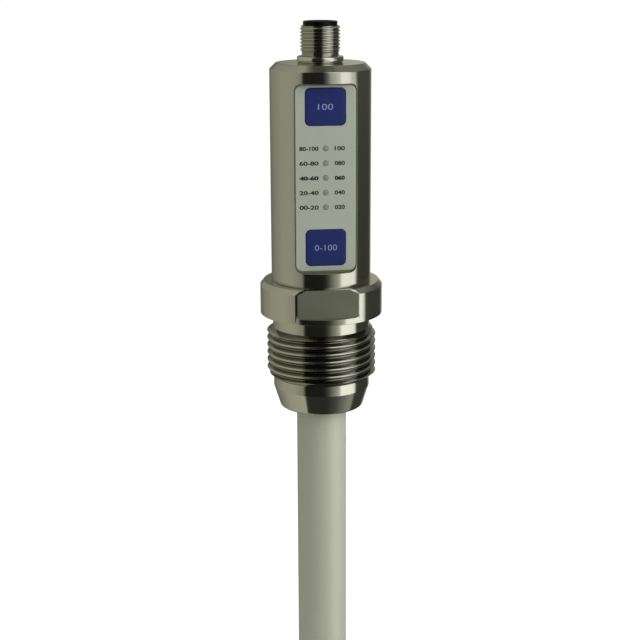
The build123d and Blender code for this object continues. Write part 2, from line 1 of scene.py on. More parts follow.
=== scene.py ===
# %% [markdown]
# # A capacitive level sensor in turned steel, printed film and white plastic
#
# The real object is a level sensor that screws into a vessel. A steel head carries a small keypad, a round
# plug inlet stands on top, and below come a spanner collar, a pipe thread, a nose and a long
# plastic-covered rod. The construction is already settled and arrives as a frame of named solids in metres.
# This lesson dresses it: smooth turned surfaces, real threads, printed marks, and a finish for every
# material.
#
# The first cell loads the frame and notes how large the construction is, so that the dressed object can be
# compared with it at the end.

import json
import math

import bmesh
import bpy
from mathutils import Matrix, Vector


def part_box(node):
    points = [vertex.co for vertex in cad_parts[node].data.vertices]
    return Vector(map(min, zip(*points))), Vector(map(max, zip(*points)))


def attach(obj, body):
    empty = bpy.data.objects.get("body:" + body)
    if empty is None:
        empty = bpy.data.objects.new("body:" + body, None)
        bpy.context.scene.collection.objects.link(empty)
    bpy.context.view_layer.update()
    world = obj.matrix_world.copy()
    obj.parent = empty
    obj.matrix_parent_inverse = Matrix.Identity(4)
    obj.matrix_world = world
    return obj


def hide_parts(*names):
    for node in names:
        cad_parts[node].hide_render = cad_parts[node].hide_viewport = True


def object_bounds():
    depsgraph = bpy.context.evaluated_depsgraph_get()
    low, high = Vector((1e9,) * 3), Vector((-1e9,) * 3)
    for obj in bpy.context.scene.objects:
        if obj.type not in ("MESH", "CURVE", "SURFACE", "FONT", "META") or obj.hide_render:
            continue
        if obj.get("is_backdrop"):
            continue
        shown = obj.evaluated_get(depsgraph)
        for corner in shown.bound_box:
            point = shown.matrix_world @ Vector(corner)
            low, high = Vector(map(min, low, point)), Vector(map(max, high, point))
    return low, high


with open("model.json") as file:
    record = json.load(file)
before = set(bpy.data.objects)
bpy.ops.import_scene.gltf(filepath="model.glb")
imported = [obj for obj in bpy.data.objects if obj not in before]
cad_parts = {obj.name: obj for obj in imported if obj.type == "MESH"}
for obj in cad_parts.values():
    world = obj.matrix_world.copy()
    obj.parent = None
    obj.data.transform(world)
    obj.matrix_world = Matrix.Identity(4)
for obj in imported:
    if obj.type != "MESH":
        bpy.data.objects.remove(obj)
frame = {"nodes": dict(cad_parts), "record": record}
cad_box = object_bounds()
scene = bpy.context.scene
# The object's sizes are written in millimetres and multiplied by this, the room's are in metres.
MM = 0.001

# %% [markdown]
# ## The camera
#
# A product photograph tells where its camera stood: the tops of round parts show as ellipses, and how flat
# they are gives the downward pitch. Here the camera stands a little to the left and above, and looks down
# by about fifteen degrees. One could also aim a camera with a Track To constraint. A matrix built from
# three turns is chosen, because each turn then has its own plain number: where it heads, how far it looks
# down, and a slight roll.

# %% Place the camera
CAMERA_PLACE = Vector((-0.0516, -0.4267, 0.1092))
CAMERA_HEADING = math.radians(-6.845)
CAMERA_PITCH = math.radians(-14.62)
CAMERA_ROLL = math.radians(-0.22)
SENSOR_WIDTH = 36.0
FOCAL_PIXELS = 1450.0
PICTURE_WIDTH = 640.0

camera = bpy.data.objects.new("camera", bpy.data.cameras.new("camera"))
scene.collection.objects.link(camera)
scene.camera = camera
camera.data.sensor_width = SENSOR_WIDTH
camera.data.lens = FOCAL_PIXELS * SENSOR_WIDTH / PICTURE_WIDTH
camera.matrix_world = (
    Matrix.Translation(CAMERA_PLACE)
    @ Matrix.Rotation(CAMERA_HEADING, 4, "Z")
    @ Matrix.Rotation(math.pi / 2 + CAMERA_PITCH, 4, "X")
    @ Matrix.Rotation(CAMERA_ROLL, 4, "Z")
)
print("lens:", round(camera.data.lens, 2), "mm")

# %% [markdown]
# ## Shader nodes in one line each
#
# A procedural material is a small machine of nodes. Adding every node, setting its values and linking its
# sockets by hand takes four or five lines a node. This helper takes the kind of node, its settings and its
# inputs. An input may be a plain value or the output of another node, and then it is linked. All materials
# below are built with it. Two small sets of nodes are needed more than once and get a helper too: one picks
# out the rays that see the plain background, and the other measures how far a place is from the object's
# axis.

# %% Helpers for shader nodes
def add_node(tree, kind, inputs=(), **settings):
    """A node of that kind, with its settings, and its inputs as values or as other nodes' outputs."""
    made = tree.nodes.new("ShaderNode" + kind)
    for name, value in settings.items():
        setattr(made, name, value)
    for socket, value in dict(inputs).items():
        if isinstance(value, bpy.types.NodeSocket):
            tree.links.new(value, made.inputs[socket])
        else:
            made.inputs[socket].default_value = value
    return made


def background_rays(tree):
    """1 for a ray that sees the plain background: from the camera, off a gloss or through a clear part."""
    path = add_node(tree, "LightPath").outputs
    glossy = add_node(
        tree, "Math", {0: path["Is Camera Ray"], 1: path["Is Glossy Ray"]}, operation="MAXIMUM"
    )
    return add_node(
        tree, "Math", {0: glossy.outputs[0], 1: path["Is Transmission Ray"]}, operation="MAXIMUM"
    ).outputs[0]


def flattened(tree, place):
    """The place with its height set to zero, and how far it is from the Z axis."""
    flat = add_node(tree, "VectorMath", {0: place, 1: (1, 1, 0)}, operation="MULTIPLY").outputs[0]
    return flat, add_node(tree, "VectorMath", {0: flat}, operation="LENGTH").outputs["Value"]


print("node helpers ready")

# %% [markdown]
# ## The plain white room
#
# The background is pure white, yet white light from all sides would wash the object out. The Light Path
# node solves this: rays that look at the background see white, and rays that gather light for a matt
# surface find a softer grey. The view transform is Standard, which leaves white as it is. The default one
# would turn it into a light grey.

# %% World
AMBIENT_LEVEL = 0.38

scene.view_settings.view_transform = "Standard"
world = bpy.data.worlds.new("white_room")
scene.world = world
world.use_nodes = True
world.node_tree.nodes.clear()
room_level = add_node(
    world.node_tree,
    "MapRange",
    {"Value": background_rays(world.node_tree), "To Min": AMBIENT_LEVEL, "To Max": 1.0},
)
room = add_node(world.node_tree, "Background", {"Color": (1, 1, 1, 1), "Strength": room_level.outputs[0]})
add_node(world.node_tree, "OutputWorld", {"Surface": room.outputs[0]})
print("room: white to look at, level", AMBIENT_LEVEL, "as light")

# %% [markdown]
# ## The lamp
#
# One large soft lamp stands to the right and to the front, and looks down at the object. It gives the white
# rod its gentle change from grey to pale. An area lamp is chosen, because its size is what makes the
# shadows soft. It stays hidden from glossy rays: what the steel mirrors comes from cards, and they follow
# below.

# %% Lamp
LAMP_LEVEL = 0.60
LAMP_AZIMUTH = math.radians(54)
LAMP_ELEVATION = math.radians(27)
LAMP_DISTANCE = 0.65
LAMP_SIZE = 0.4


def direction(azimuth, elevation):
    """A unit vector: azimuth 0 points to the keypad's side, -Y, and a positive azimuth turns it to +X."""
    level = math.cos(elevation)
    return Vector((math.sin(azimuth) * level, -math.cos(azimuth) * level, math.sin(elevation)))


lamp = bpy.data.objects.new("soft_lamp", bpy.data.lights.new("soft_lamp", "AREA"))
scene.collection.objects.link(lamp)
lamp.data.size = LAMP_SIZE
# This power makes a white matt surface that faces the lamp as bright as the level says.
lamp.data.energy = LAMP_LEVEL * (math.pi * LAMP_DISTANCE) ** 2
lamp.location = direction(LAMP_AZIMUTH, LAMP_ELEVATION) * LAMP_DISTANCE
lamp.rotation_euler = lamp.location.to_track_quat("Z", "Y").to_euler()
lamp.visible_glossy = False
print("lamp:", round(lamp.data.energy, 2), "W")

# %% [markdown]
# ## The floor
#
# The rod's end stands on a floor of matt paint that also glows, so that it looks as white as the room where
# the lamp reaches it. Near the foot the glow is weaker, and the object's own shadow shows there. Blender's
# shadow catcher could do this too, but it needs a see-through background, and here the white is part of the
# picture.

# %% Floor
FLOOR_WIDTH = 6.0
FLOOR_COLOUR = (0.8, 0.8, 0.8, 1)
FOOT_GLOW = 0.45
FLOOR_GLOW = 0.72
FOOT_REACH = 0.09

floor_paint = bpy.data.materials.new("floor_paint")
floor_paint.use_nodes = True
floor_tree = floor_paint.node_tree
floor_tree.nodes.clear()
matt_floor = add_node(floor_tree, "BsdfDiffuse", {"Color": FLOOR_COLOUR})
floor_place = add_node(floor_tree, "TexCoord").outputs["Object"]
_, foot_distance = flattened(floor_tree, floor_place)
glow = add_node(
    floor_tree,
    "MapRange",
    {"Value": foot_distance, "From Max": FOOT_REACH, "To Min": FOOT_GLOW, "To Max": FLOOR_GLOW},
).outputs[0]
floor_glow_level = add_node(
    floor_tree, "Math", {0: background_rays(floor_tree), 1: glow}, operation="MULTIPLY"
)
floor_glow = add_node(floor_tree, "Emission", {"Strength": floor_glow_level.outputs[0]})
floor_sum = add_node(floor_tree, "AddShader", {0: matt_floor.outputs[0], 1: floor_glow.outputs[0]})
add_node(floor_tree, "OutputMaterial", {"Surface": floor_sum.outputs[0]})

bm = bmesh.new()
bmesh.ops.create_grid(bm, x_segments=1, y_segments=1, size=FLOOR_WIDTH / 2)
bmesh.ops.translate(bm, verts=bm.verts, vec=(0, 0, cad_box[0].z))
floor_mesh = bpy.data.meshes.new("floor")
bm.to_mesh(floor_mesh)
bm.free()
floor = bpy.data.objects.new("floor", floor_mesh)
floor.data.materials.append(floor_paint)
floor.visible_glossy = False
scene.collection.objects.link(floor)
floor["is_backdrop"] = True
print("floor at", round(cad_box[0].z, 4), "m")

# %% [markdown]
# ## The cards that the steel mirrors
#
# Polished metal has no look of its own: it shows what stands around it. The photographer of such a part
# puts cards around it. Here the steel mirrors a warm grey card to the left, a black one in front, a bright
# soft box to the right and a dark one beyond it, with softer tones overhead and below. Real card objects
# would each need a place. One large dome is simpler: its material is a colour ramp over the compass, one
# ramp for each of four heights. A card is written as an azimuth, how bright it is there, and one of four
# tints. The steepest ring repeats the high one, with some fill light on the right for the housing's
# bevelled edge. Only glossy rays see the dome, so it changes no shadow, no background and no matt surface.

# %% The cards
WARM_GREY = (1.0, 1.02, 0.80)
PALE = (1.0, 1.04, 0.90)
WHITE = (1.0, 1.025, 0.945)
BLACK = (1.0, 1.06, 0.87)
LEVEL_CARDS = [
    (-180, 0.15, WARM_GREY),
    (-156, 0.21, WARM_GREY),
    (-140, 0.32, WARM_GREY),
    (-110, 0.455, WARM_GREY),
    (-85, 0.485, WARM_GREY),
    (-70, 0.45, WARM_GREY),
    (-51.5, 0.345, WARM_GREY),
    (-48.5, 0.19, WARM_GREY),
    (-46, 0.016, BLACK),
    (-2, 0.02, BLACK),
    (5, 0.04, BLACK),
    (12, 0.10, PALE),
    (20, 0.25, PALE),
    (27, 0.38, PALE),
    (34, 0.56, PALE),
    (38, 0.76, PALE),
    (41, 1.3, WHITE),
    (44, 1.48, WHITE),
    (66, 1.48, WHITE),
    (76, 1.42, WHITE),
    (79.5, 1.22, WHITE),
    (83, 0.5, PALE),
    (86, 0.06, BLACK),
    (140, 0.055, BLACK),
    (163, 0.5, WARM_GREY),
    (171.5, 0.54, WARM_GREY),
    (174.5, 0.29, WARM_GREY),
    (180, 0.15, WARM_GREY),
]
LOW_CARDS = [
    (-180, 0.055, BLACK),
    (-149, 0.23, WARM_GREY),
    (-115, 0.5, WARM_GREY),
    (-58, 0.58, WARM_GREY),
    (-55, 0.037, BLACK),
    (11, 0.037, BLACK),
    (41, 0.095, BLACK),
    (71, 0.28, PALE),
    (92, 0.4, PALE),
    (99, 0.065, BLACK),
    (180, 0.055, BLACK),
]
HIGH_CARDS = [
    (-180, 0.1, WARM_GREY),
    (-170, 0.15, WARM_GREY),
    (-157, 0.35, WARM_GREY),
    (-145, 0.4, WARM_GREY),
    (-100, 0.485, WARM_GREY),
    (-60, 0.485, WARM_GREY),
    (-50, 0.42, WARM_GREY),
    (-47, 0.025, BLACK),
    (0, 0.028, BLACK),
    (9, 0.3, PALE),
    (17, 0.95, WHITE),
    (40, 1.3, WHITE),
    (60, 1.2, WHITE),
    (70, 0.17, PALE),
    (86, 0.12, PALE),
    (94, 0.13, PALE),
    (130, 0.12, PALE),
    (146, 0.21, PALE),
    (160, 0.4, WARM_GREY),
    (170, 0.47, WARM_GREY),
    (173.5, 0.37, WARM_GREY),
    (176, 0.155, WARM_GREY),
    (180, 0.1, WARM_GREY),
]
FILL_CARD = 0.14
FILL_AZIMUTHS = (80, 150)
STEEP_CARDS = [
    (azimuth, level + FILL_CARD if FILL_AZIMUTHS[0] < azimuth < FILL_AZIMUTHS[1] else level, hue)
    for azimuth, level, hue in HIGH_CARDS
]
OVERHEAD_CARD = (0.09, 0.095, 0.076, 1)
# Each ring takes over from the one below it between two elevations, in degrees.
LEVEL_SPAN = (-44, -33)
HIGH_SPAN = (-15, 9)
STEEP_SPAN = (20, 50)
OVERHEAD_SPAN = (69, 84)
print("cards at four heights:", len(LOW_CARDS), len(LEVEL_CARDS), len(HIGH_CARDS), len(STEEP_CARDS))

# %% [markdown]
# ## The dome that shows the cards
#
# Every direction from the object has an azimuth and a height. The dome's material works both out from its
# own coordinates, reads one ramp after the other at that azimuth, and mixes them by the height. Each ramp
# fades softly into the next, because a hard step would show on the steel as an edge that isn't there.

# %% The dome
DOME_RADIUS = 3.0
DOME_COLUMNS = 64


def mix_colours(tree, share, first, second):
    """The first colour where the share is 0 and the second where it is 1."""
    return add_node(tree, "Mix", {"Factor": share, 6: first, 7: second}, data_type="RGBA").outputs[2]


def compass_ramp(tree, compass, cards):
    """The cards over the compass, from -180 to 180 degrees. Each has an azimuth, a level and a tint."""
    ramp = add_node(tree, "ValToRGB", {"Fac": compass})
    stops = ramp.color_ramp.elements
    while len(stops) < len(cards):
        stops.new(1.0)
    for stop, (azimuth, level, hue) in zip(stops, cards):
        stop.position = (azimuth + 180) / 360
        stop.color = (*(level * share for share in hue), 1)
    return ramp.outputs["Color"]


def height_share(tree, rise, span):
    """0 below a span of elevations and 1 above it, in degrees. Rise is the sine of the elevation."""
    start, end = (math.sin(math.radians(elevation)) for elevation in span)
    return add_node(
        tree,
        "MapRange",
        {"Value": rise, "From Min": start, "From Max": end},
        interpolation_type="SMOOTHSTEP",
    ).outputs[0]


card_paint = bpy.data.materials.new("card_paint")
card_paint.use_nodes = True
dome_tree = card_paint.node_tree
dome_tree.nodes.clear()
card_place = add_node(dome_tree, "TexCoord").outputs["Object"]
card_way = add_node(dome_tree, "VectorMath", {0: card_place}, operation="NORMALIZE").outputs[0]
way = add_node(dome_tree, "SeparateXYZ", {0: card_way}).outputs
forward = add_node(dome_tree, "Math", {0: way["Y"], 1: -1.0}, operation="MULTIPLY").outputs[0]
heading = add_node(dome_tree, "Math", {0: way["X"], 1: forward}, operation="ARCTAN2").outputs[0]
compass = add_node(
    dome_tree, "MapRange", {"Value": heading, "From Min": -math.pi, "From Max": math.pi}
).outputs[0]
card_colour = compass_ramp(dome_tree, compass, LOW_CARDS)
for ring, span in ((LEVEL_CARDS, LEVEL_SPAN), (HIGH_CARDS, HIGH_SPAN), (STEEP_CARDS, STEEP_SPAN)):
    share = height_share(dome_tree, way["Z"], span)
    card_colour = mix_colours(dome_tree, share, card_colour, compass_ramp(dome_tree, compass, ring))
overhead_share = height_share(dome_tree, way["Z"], OVERHEAD_SPAN)
card_colour = mix_colours(dome_tree, overhead_share, card_colour, OVERHEAD_CARD)
card_light = add_node(dome_tree, "Emission", {"Color": card_colour})
add_node(dome_tree, "OutputMaterial", {"Surface": card_light.outputs[0]})

bm = bmesh.new()
bmesh.ops.create_uvsphere(
    bm, u_segments=DOME_COLUMNS, v_segments=DOME_COLUMNS // 2, radius=DOME_RADIUS
)
dome_mesh = bpy.data.meshes.new("card_dome")
bm.to_mesh(dome_mesh)
bm.free()
dome = bpy.data.objects.new("card_dome", dome_mesh)
dome.data.materials.append(card_paint)
dome.visible_camera = False
dome.visible_diffuse = False
dome.visible_transmission = False
dome.visible_volume_scatter = False
dome.visible_shadow = False
scene.collection.objects.link(dome)
dome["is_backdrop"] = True
print("dome of cards:", DOME_RADIUS, "m in radius,", len(dome_mesh.polygons), "faces")

# %% [markdown]
# ## Two surface effects that several finishes share
#
# Everything on this object was either turned on a lathe or moulded. A lathe leaves very fine rings, which
# lie round the axis on a wall and on an end face alike. The first group makes them from noise that is
# squeezed along height plus radius, and stretched around the axis, so it has no seam. A mould leaves a fine
# even grain and a faint cloudy change of gloss, and the second group makes those. As node groups, both are
# built once and used with other values in each finish.

# %% Node groups for turned and moulded surfaces
PATCH_SCALE = 160.0


def new_group(name, sockets_in, sockets_out):
    """A shader node group with its sockets, and its input and output nodes."""
    group = bpy.data.node_groups.new(name, "ShaderNodeTree")
    for socket, kind in sockets_in:
        group.interface.new_socket(socket, in_out="INPUT", socket_type=kind)
    for socket, kind in sockets_out:
        group.interface.new_socket(socket, in_out="OUTPUT", socket_type=kind)
    return group, group.nodes.new("NodeGroupInput").outputs, group.nodes.new("NodeGroupOutput").inputs


turned, given, made = new_group(
    "turned_marks",
    [("Position", "NodeSocketVector"), ("Rings", "NodeSocketFloat"), ("Around", "NodeSocketFloat")],
    [("Marks", "NodeSocketFloat"), ("Patches", "NodeSocketFloat")],
)
flat_place, radius = flattened(turned, given["Position"])
height = add_node(turned, "SeparateXYZ", {0: given["Position"]}).outputs["Z"]
along = add_node(turned, "Math", {0: height, 1: radius}, operation="ADD").outputs[0]
squeezed = add_node(turned, "Math", {0: along, 1: given["Rings"]}, operation="MULTIPLY").outputs[0]
stretched = add_node(
    turned, "VectorMath", {0: flat_place, "Scale": given["Around"]}, operation="SCALE"
).outputs[0]
ring_height = add_node(turned, "CombineXYZ", {"Z": squeezed}).outputs[0]
ring_place = add_node(turned, "VectorMath", {0: stretched, 1: ring_height}, operation="ADD").outputs[0]
rings = add_node(turned, "TexNoise", {"Vector": ring_place, "Scale": 1.0, "Detail": 3.0, "Roughness": 0.6})
patches = add_node(
    turned, "TexNoise", {"Vector": given["Position"], "Scale": PATCH_SCALE, "Detail": 2.0, "Roughness": 0.5}
)
turned.links.new(rings.outputs[0], made["Marks"])
turned.links.new(patches.outputs[0], made["Patches"])

moulded, given, made = new_group(
    "moulded_grain",
    [("Position", "NodeSocketVector"), ("Grain", "NodeSocketFloat"), ("Clouds", "NodeSocketFloat")],
    [("Grain", "NodeSocketFloat"), ("Clouds", "NodeSocketFloat")],
)
grain = add_node(
    moulded,
    "TexNoise",
    {"Vector": given["Position"], "Scale": given["Grain"], "Detail": 2.0, "Roughness": 0.55},
)
clouds = add_node(
    moulded,
    "TexNoise",
    {"Vector": given["Position"], "Scale": given["Clouds"], "Detail": 3.0, "Roughness": 0.5},
)
moulded.links.new(grain.outputs[0], made["Grain"])
moulded.links.new(clouds.outputs[0], made["Clouds"])
print("node groups:", turned.name, moulded.name)

# %% [markdown]
# ## Finishes for metal
#
# All metal here is one recipe with other numbers. The colour changes a little with the marks, the marks
# also drive the gloss, and a very low bump lets the rings catch the light one by one. The bump is kept in
# real size, a fraction of a thousandth of a millimetre high in effect, because a larger one would break the
# clean bands of reflection. In a thread little light gets down to the roots, so a place nearer the axis
# gets a darker colour there: this is shade painted into the base colour.

# %% Metal finishes
STEEL = (0.54, 0.53, 0.475)
GROUND_STEEL = (0.505, 0.495, 0.445)
MILLED_STEEL = (0.415, 0.43, 0.34)
NICKEL = (0.58, 0.57, 0.51)
# How much of its colour a thread keeps in its roots: painted shade, since little light gets there.
ROOT_SHADE = 0.45
# Between these radii, in millimetres, a thread's colour goes from painted shade at its root to its full
# colour at the crest.
PIPE_ROOT_RADII = (15.5, 16.6)
M12_ROOT_RADII = (5.35, 5.75)
# The part of its range from 0 to 1 that a noise really fills.
NOISE_RANGE = (0.3, 0.7)


def new_finish(slot, **shader_values):
    """A material named after its slot, with its Principled shader and the object coordinates."""
    material = bpy.data.materials.new(slot)
    material.use_nodes = True
    tree = material.node_tree
    shader = tree.nodes["Principled BSDF"]
    for socket, value in shader_values.items():
        shader.inputs[socket.replace("_", " ")].default_value = value
    return material, tree, shader, add_node(tree, "TexCoord").outputs["Object"]


def tint(tree, share, colour, shade):
    """The colour made darker or lighter by a share that changes over the surface."""
    dark = (channel * (1 - shade) for channel in colour)
    light = (min(1.0, channel * (1 + shade)) for channel in colour)
    return mix_colours(tree, share, (*dark, 1), (*light, 1))


def between(tree, share, low, high):
    """A value from low to high, as the share goes over the part of its range that a noise fills."""
    start, end = NOISE_RANGE
    return add_node(
        tree, "MapRange", {"Value": share, "From Min": start, "From Max": end, "To Min": low, "To Max": high}
    ).outputs[0]


def bump(tree, shader, height, distance):
    """A fine relief on the shader's normal, its depth in metres."""
    relief = add_node(tree, "Bump", {"Height": height, "Distance": distance})
    tree.links.new(relief.outputs[0], shader.inputs["Normal"])


def turned_metal(slot, colour, gloss, rings=9000.0, around=60.0, shade=0.05, relief=1.2e-6, roots=None):
    """Metal with a lathe's rings. Gloss is the lowest and highest roughness, roots a thread's two radii for
    painted root shade.
    """
    material, tree, shader, place = new_finish(slot, Metallic=1.0)
    marks = add_node(
        tree, "Group", {"Position": place, "Rings": rings, "Around": around}, node_tree=turned
    ).outputs
    shown = tint(tree, marks["Marks"], colour, shade)
    # Painted shade: the colour darkens towards a thread's root, where little light gets in.
    if roots:
        _, reach = flattened(tree, place)
        depth = add_node(
            tree, "MapRange", {"Value": reach, "From Min": roots[0] * MM, "From Max": roots[1] * MM}
        ).outputs[0]
        painted_root_shade = (channel * ROOT_SHADE for channel in colour)
        shown = mix_colours(tree, depth, (*painted_root_shade, 1), shown)
    tree.links.new(shown, shader.inputs["Base Color"])
    blend = add_node(tree, "Mix", {"Factor": 0.5, 2: marks["Marks"], 3: marks["Patches"]}).outputs[0]
    tree.links.new(between(tree, blend, *gloss), shader.inputs["Roughness"])
    bump(tree, shader, marks["Marks"], relief)
    return material


finishes = {
    "fitting_steel": turned_metal("fitting_steel", STEEL, (0.08, 0.14)),
    "housing_steel": turned_metal("housing_steel", GROUND_STEEL, (0.09, 0.14), rings=7000.0, around=90.0),
    "inlet_nickel": turned_metal("inlet_nickel", NICKEL, (0.07, 0.12), shade=0.03),
    "small_steel": turned_metal("small_steel", (0.55, 0.55, 0.52), (0.25, 0.40)),
    "contact_gold": turned_metal("contact_gold", (0.83, 0.60, 0.25), (0.15, 0.25)),
    "shield_tin": turned_metal("shield_tin", (0.70, 0.70, 0.67), (0.22, 0.38), rings=900.0, around=900.0),
    "tag_brass": turned_metal("tag_brass", (0.70, 0.52, 0.22), (0.20, 0.36), rings=2500.0, around=900.0),
}
milled_steel = turned_metal("milled_steel", MILLED_STEEL, (0.40, 0.50), rings=5000.0, relief=1.6e-6)
# These two paint shade into a thread's roots.
root_shaded_steel = turned_metal("root_shaded_steel", STEEL, (0.10, 0.16), roots=PIPE_ROOT_RADII)
root_shaded_nickel = turned_metal("root_shaded_nickel", NICKEL, (0.08, 0.13), shade=0.03, roots=M12_ROOT_RADII)
print("metals:", ", ".join(sorted(finishes)))

# %% [markdown]
# ## Finishes for plastic, film and rubber
#
# The moulded parts share a recipe too: a base colour with a faint cloudy change, a fine grain as relief,
# and a gloss that varies a little. The numbers say how each differs. The keys are a smooth dark blue, the
# keypad film has a very fine matt texture, and rubber is nearly black and dull. The rod is a satin
# off-white that lets some light in: it comes out again close by, which softens the change from grey to pale
# over the rod.

# %% Plastic finishes
def moulded_plastic(slot, colour, gloss, grain=4000.0, clouds=120.0, shade=0.04, relief=4e-6, **more):
    """Plastic with a fine grain. Gloss is the lowest and highest roughness."""
    material, tree, shader, place = new_finish(slot, Metallic=0.0, **more)
    surface = add_node(
        tree, "Group", {"Position": place, "Grain": grain, "Clouds": clouds}, node_tree=moulded
    ).outputs
    tree.links.new(tint(tree, surface["Clouds"], colour, shade), shader.inputs["Base Color"])
    tree.links.new(between(tree, surface["Clouds"], *gloss), shader.inputs["Roughness"])
    bump(tree, shader, surface["Grain"], relief)
    return material


finishes.update(
    {
        "panel_print": moulded_plastic("panel_print", (0.440, 0.484, 0.392), (0.42, 0.50), grain=6000.0),
        "key_blue": moulded_plastic(
            "key_blue", (0.015, 0.026, 0.147), (0.36, 0.44), grain=5000.0, Specular_IOR_Level=0.3
        ),
        "guide_plastic": moulded_plastic("guide_plastic", (0.27, 0.29, 0.235), (0.14, 0.22), relief=1e-6),
        "rod_plastic": moulded_plastic(
            "rod_plastic",
            (0.565, 0.58, 0.465),
            (0.29, 0.33),
            grain=2500.0,
            clouds=35.0,
            shade=0.012,
            Subsurface_Weight=0.6,
            Subsurface_Radius=(1.0, 1.0, 0.9),
            Subsurface_Scale=0.003,
        ),
        "carrier_black": moulded_plastic(
            "carrier_black", (0.003, 0.003, 0.002), (0.18, 0.26), Specular_IOR_Level=0.1
        ),
        "seal_rubber": moulded_plastic("seal_rubber", (0.02, 0.02, 0.02), (0.65, 0.80)),
        "board_green": moulded_plastic(
            "board_green", (0.02, 0.12, 0.05), (0.25, 0.35), clouds=900.0, shade=0.2
        ),
        "component_black": moulded_plastic("component_black", (0.02, 0.02, 0.02), (0.45, 0.60)),
        "plunger_plastic": moulded_plastic("plunger_plastic", (0.50, 0.50, 0.47), (0.30, 0.40)),
        "lamp_clear": moulded_plastic("lamp_clear", (0.70, 0.72, 0.66), (0.08, 0.16), relief=5e-7),
        "bush_plastic": moulded_plastic("bush_plastic", (0.50, 0.42, 0.28), (0.40, 0.52)),
        "holder_plastic": moulded_plastic("holder_plastic", (0.06, 0.06, 0.06), (0.45, 0.58)),
    }
)
dark_ink = moulded_plastic("dark_ink", (0.008, 0.010, 0.006), (0.45, 0.55), grain=6000.0, relief=1e-6)
pale_ink = moulded_plastic("pale_ink", (0.27, 0.30, 0.52), (0.40, 0.50), grain=6000.0, relief=1e-6)
print("finishes:", len(finishes), "and two inks")

# %% [markdown]
# ## How a turned part is made
#
# A lathe cuts an outline while the bar turns, and Blender's spin operator does the same with a chain of
# edges. The outline below is a list of corners: a radius, a height and how far the corner is rounded. A
# vertex bevel rounds the corners before the spin, so even the smallest edge catches a line of light, as a
# real broken edge does. A Screw modifier could also turn an outline, but the operator leaves a plain mesh
# that can be cut and joined at once.

# %% Helpers for turned parts
COLUMNS = 160
ROUNDING_SEGMENTS = 3
SAME_PLACE = 2e-6


def round_off(bm, geom, offset, affect, segments=ROUNDING_SEGMENTS, material=-1, clamp_overlap=False):
    """Bevels vertices or edges, with an offset in millimetres. Returns the vertices that this makes."""
    return bmesh.ops.bevel(
        bm,
        geom=geom,
        offset=offset * MM,
        affect=affect,
        segments=segments,
        profile=0.5,
        material=material,
        clamp_overlap=clamp_overlap,
    )["verts"]


def add_outline(bm, corners, segments=ROUNDING_SEGMENTS):
    """A chain of edges in the plane Y = 0 through corners of radius, height and rounding, in millimetres."""
    chain = [bm.verts.new((radius * MM, 0, height * MM)) for radius, height, _ in corners]
    for start, end in zip(chain, chain[1:]):
        bm.edges.new((start, end))
    for rounding in sorted({corner[2] for corner in corners} - {0}):
        chosen = [vert for vert, corner in zip(chain, corners) if corner[2] == rounding]
        round_off(bm, chosen, rounding, "VERTICES", segments)


def spin_round(bm, columns=COLUMNS, rise=0.0):
    """Turns the loose edges once round the Z axis, while they rise by that much in metres."""
    edges = [edge for edge in bm.edges if edge.is_wire]
    verts = list({vert for edge in edges for vert in edge.verts})
    bmesh.ops.spin(
        bm,
        geom=verts + edges,
        axis=(0, 0, 1),
        angle=math.tau,
        steps=columns,
        dvec=(0, 0, rise / columns),
        use_merge=not rise,
    )
    bmesh.ops.remove_doubles(bm, verts=bm.verts, dist=SAME_PLACE)


def turn(corners, columns=COLUMNS, segments=ROUNDING_SEGMENTS):
    """A bmesh of an outline turned round the Z axis."""
    bm = bmesh.new()
    add_outline(bm, corners, segments)
    spin_round(bm, columns)
    return bm


print("turning helpers ready:", COLUMNS, "columns to a turn")

# %% [markdown]
# ## From a mesh to a piece of the object
#
# A mesh first turns into an object with smooth shading, in which only edges beyond a certain angle stay
# sharp. Then it gets its material and a Weighted Normal modifier, which keeps large faces flat beside their
# small rounded edges.

# %% Helpers that finish a piece
SHARP_ANGLE = math.radians(34)


def to_object(bm, name):
    """The bmesh as a smooth-shaded object at the origin, with sharp edges kept sharp."""
    bmesh.ops.recalc_face_normals(bm, faces=bm.faces)
    mesh = bpy.data.meshes.new(name)
    bm.to_mesh(mesh)
    bm.free()
    mesh.shade_smooth()
    mesh.set_sharp_from_angle(angle=SHARP_ANGLE)
    made = bpy.data.objects.new(name, mesh)
    scene.collection.objects.link(made)
    return made


def dress(piece, slot, body="base", stands_for=(), finish=None):
    """Gives a finished piece its material and normals, and puts it on its body in place of CAD nodes."""
    for number, material in enumerate(finish or [finishes[slot]]):
        if number == len(piece.data.materials):
            piece.data.materials.append(material)
        else:
            piece.data.materials[number] = material
    weighted = piece.modifiers.new("weighted_normals", "WEIGHTED_NORMAL")
    weighted.keep_sharp = True
    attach(piece, body)
    if stands_for:
        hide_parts(*stands_for)
    faces = piece.data.polygons
    triangles = sum(len(face.vertices) - 2 for face in faces)
    print(f"{piece.name}: {len(faces)} faces, {triangles} triangles")


def size_of(node):
    """Largest radius, lower end and upper end of a node that stands round the Z axis, in millimetres."""
    low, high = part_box(node)
    return high.x / MM, low.z / MM, high.z / MM


print("finishing helpers ready, sharp beyond", round(math.degrees(SHARP_ANGLE)), "degrees")

# %% [markdown]
# ## Cutting with a second shape
#
# Spanner flats, the keypad's pocket and the holes are milled or drilled after turning. The Boolean modifier
# takes a cutter away from a piece just as a mill does. It is applied at once, so that the finished piece is
# a plain mesh. Most cutters here are slabs with rounded corners, which stand upright and face the keypad's
# side. A grid of one face becomes such a slab: its four corner vertices are bevelled, it is extruded, and
# its front edge can be bevelled too.

# %% Helpers for slabs and cuts
SLAB_CORNER_SEGMENTS = 10
HOLE_SEGMENTS = 48
BROKEN_EDGE_SEGMENTS = 2
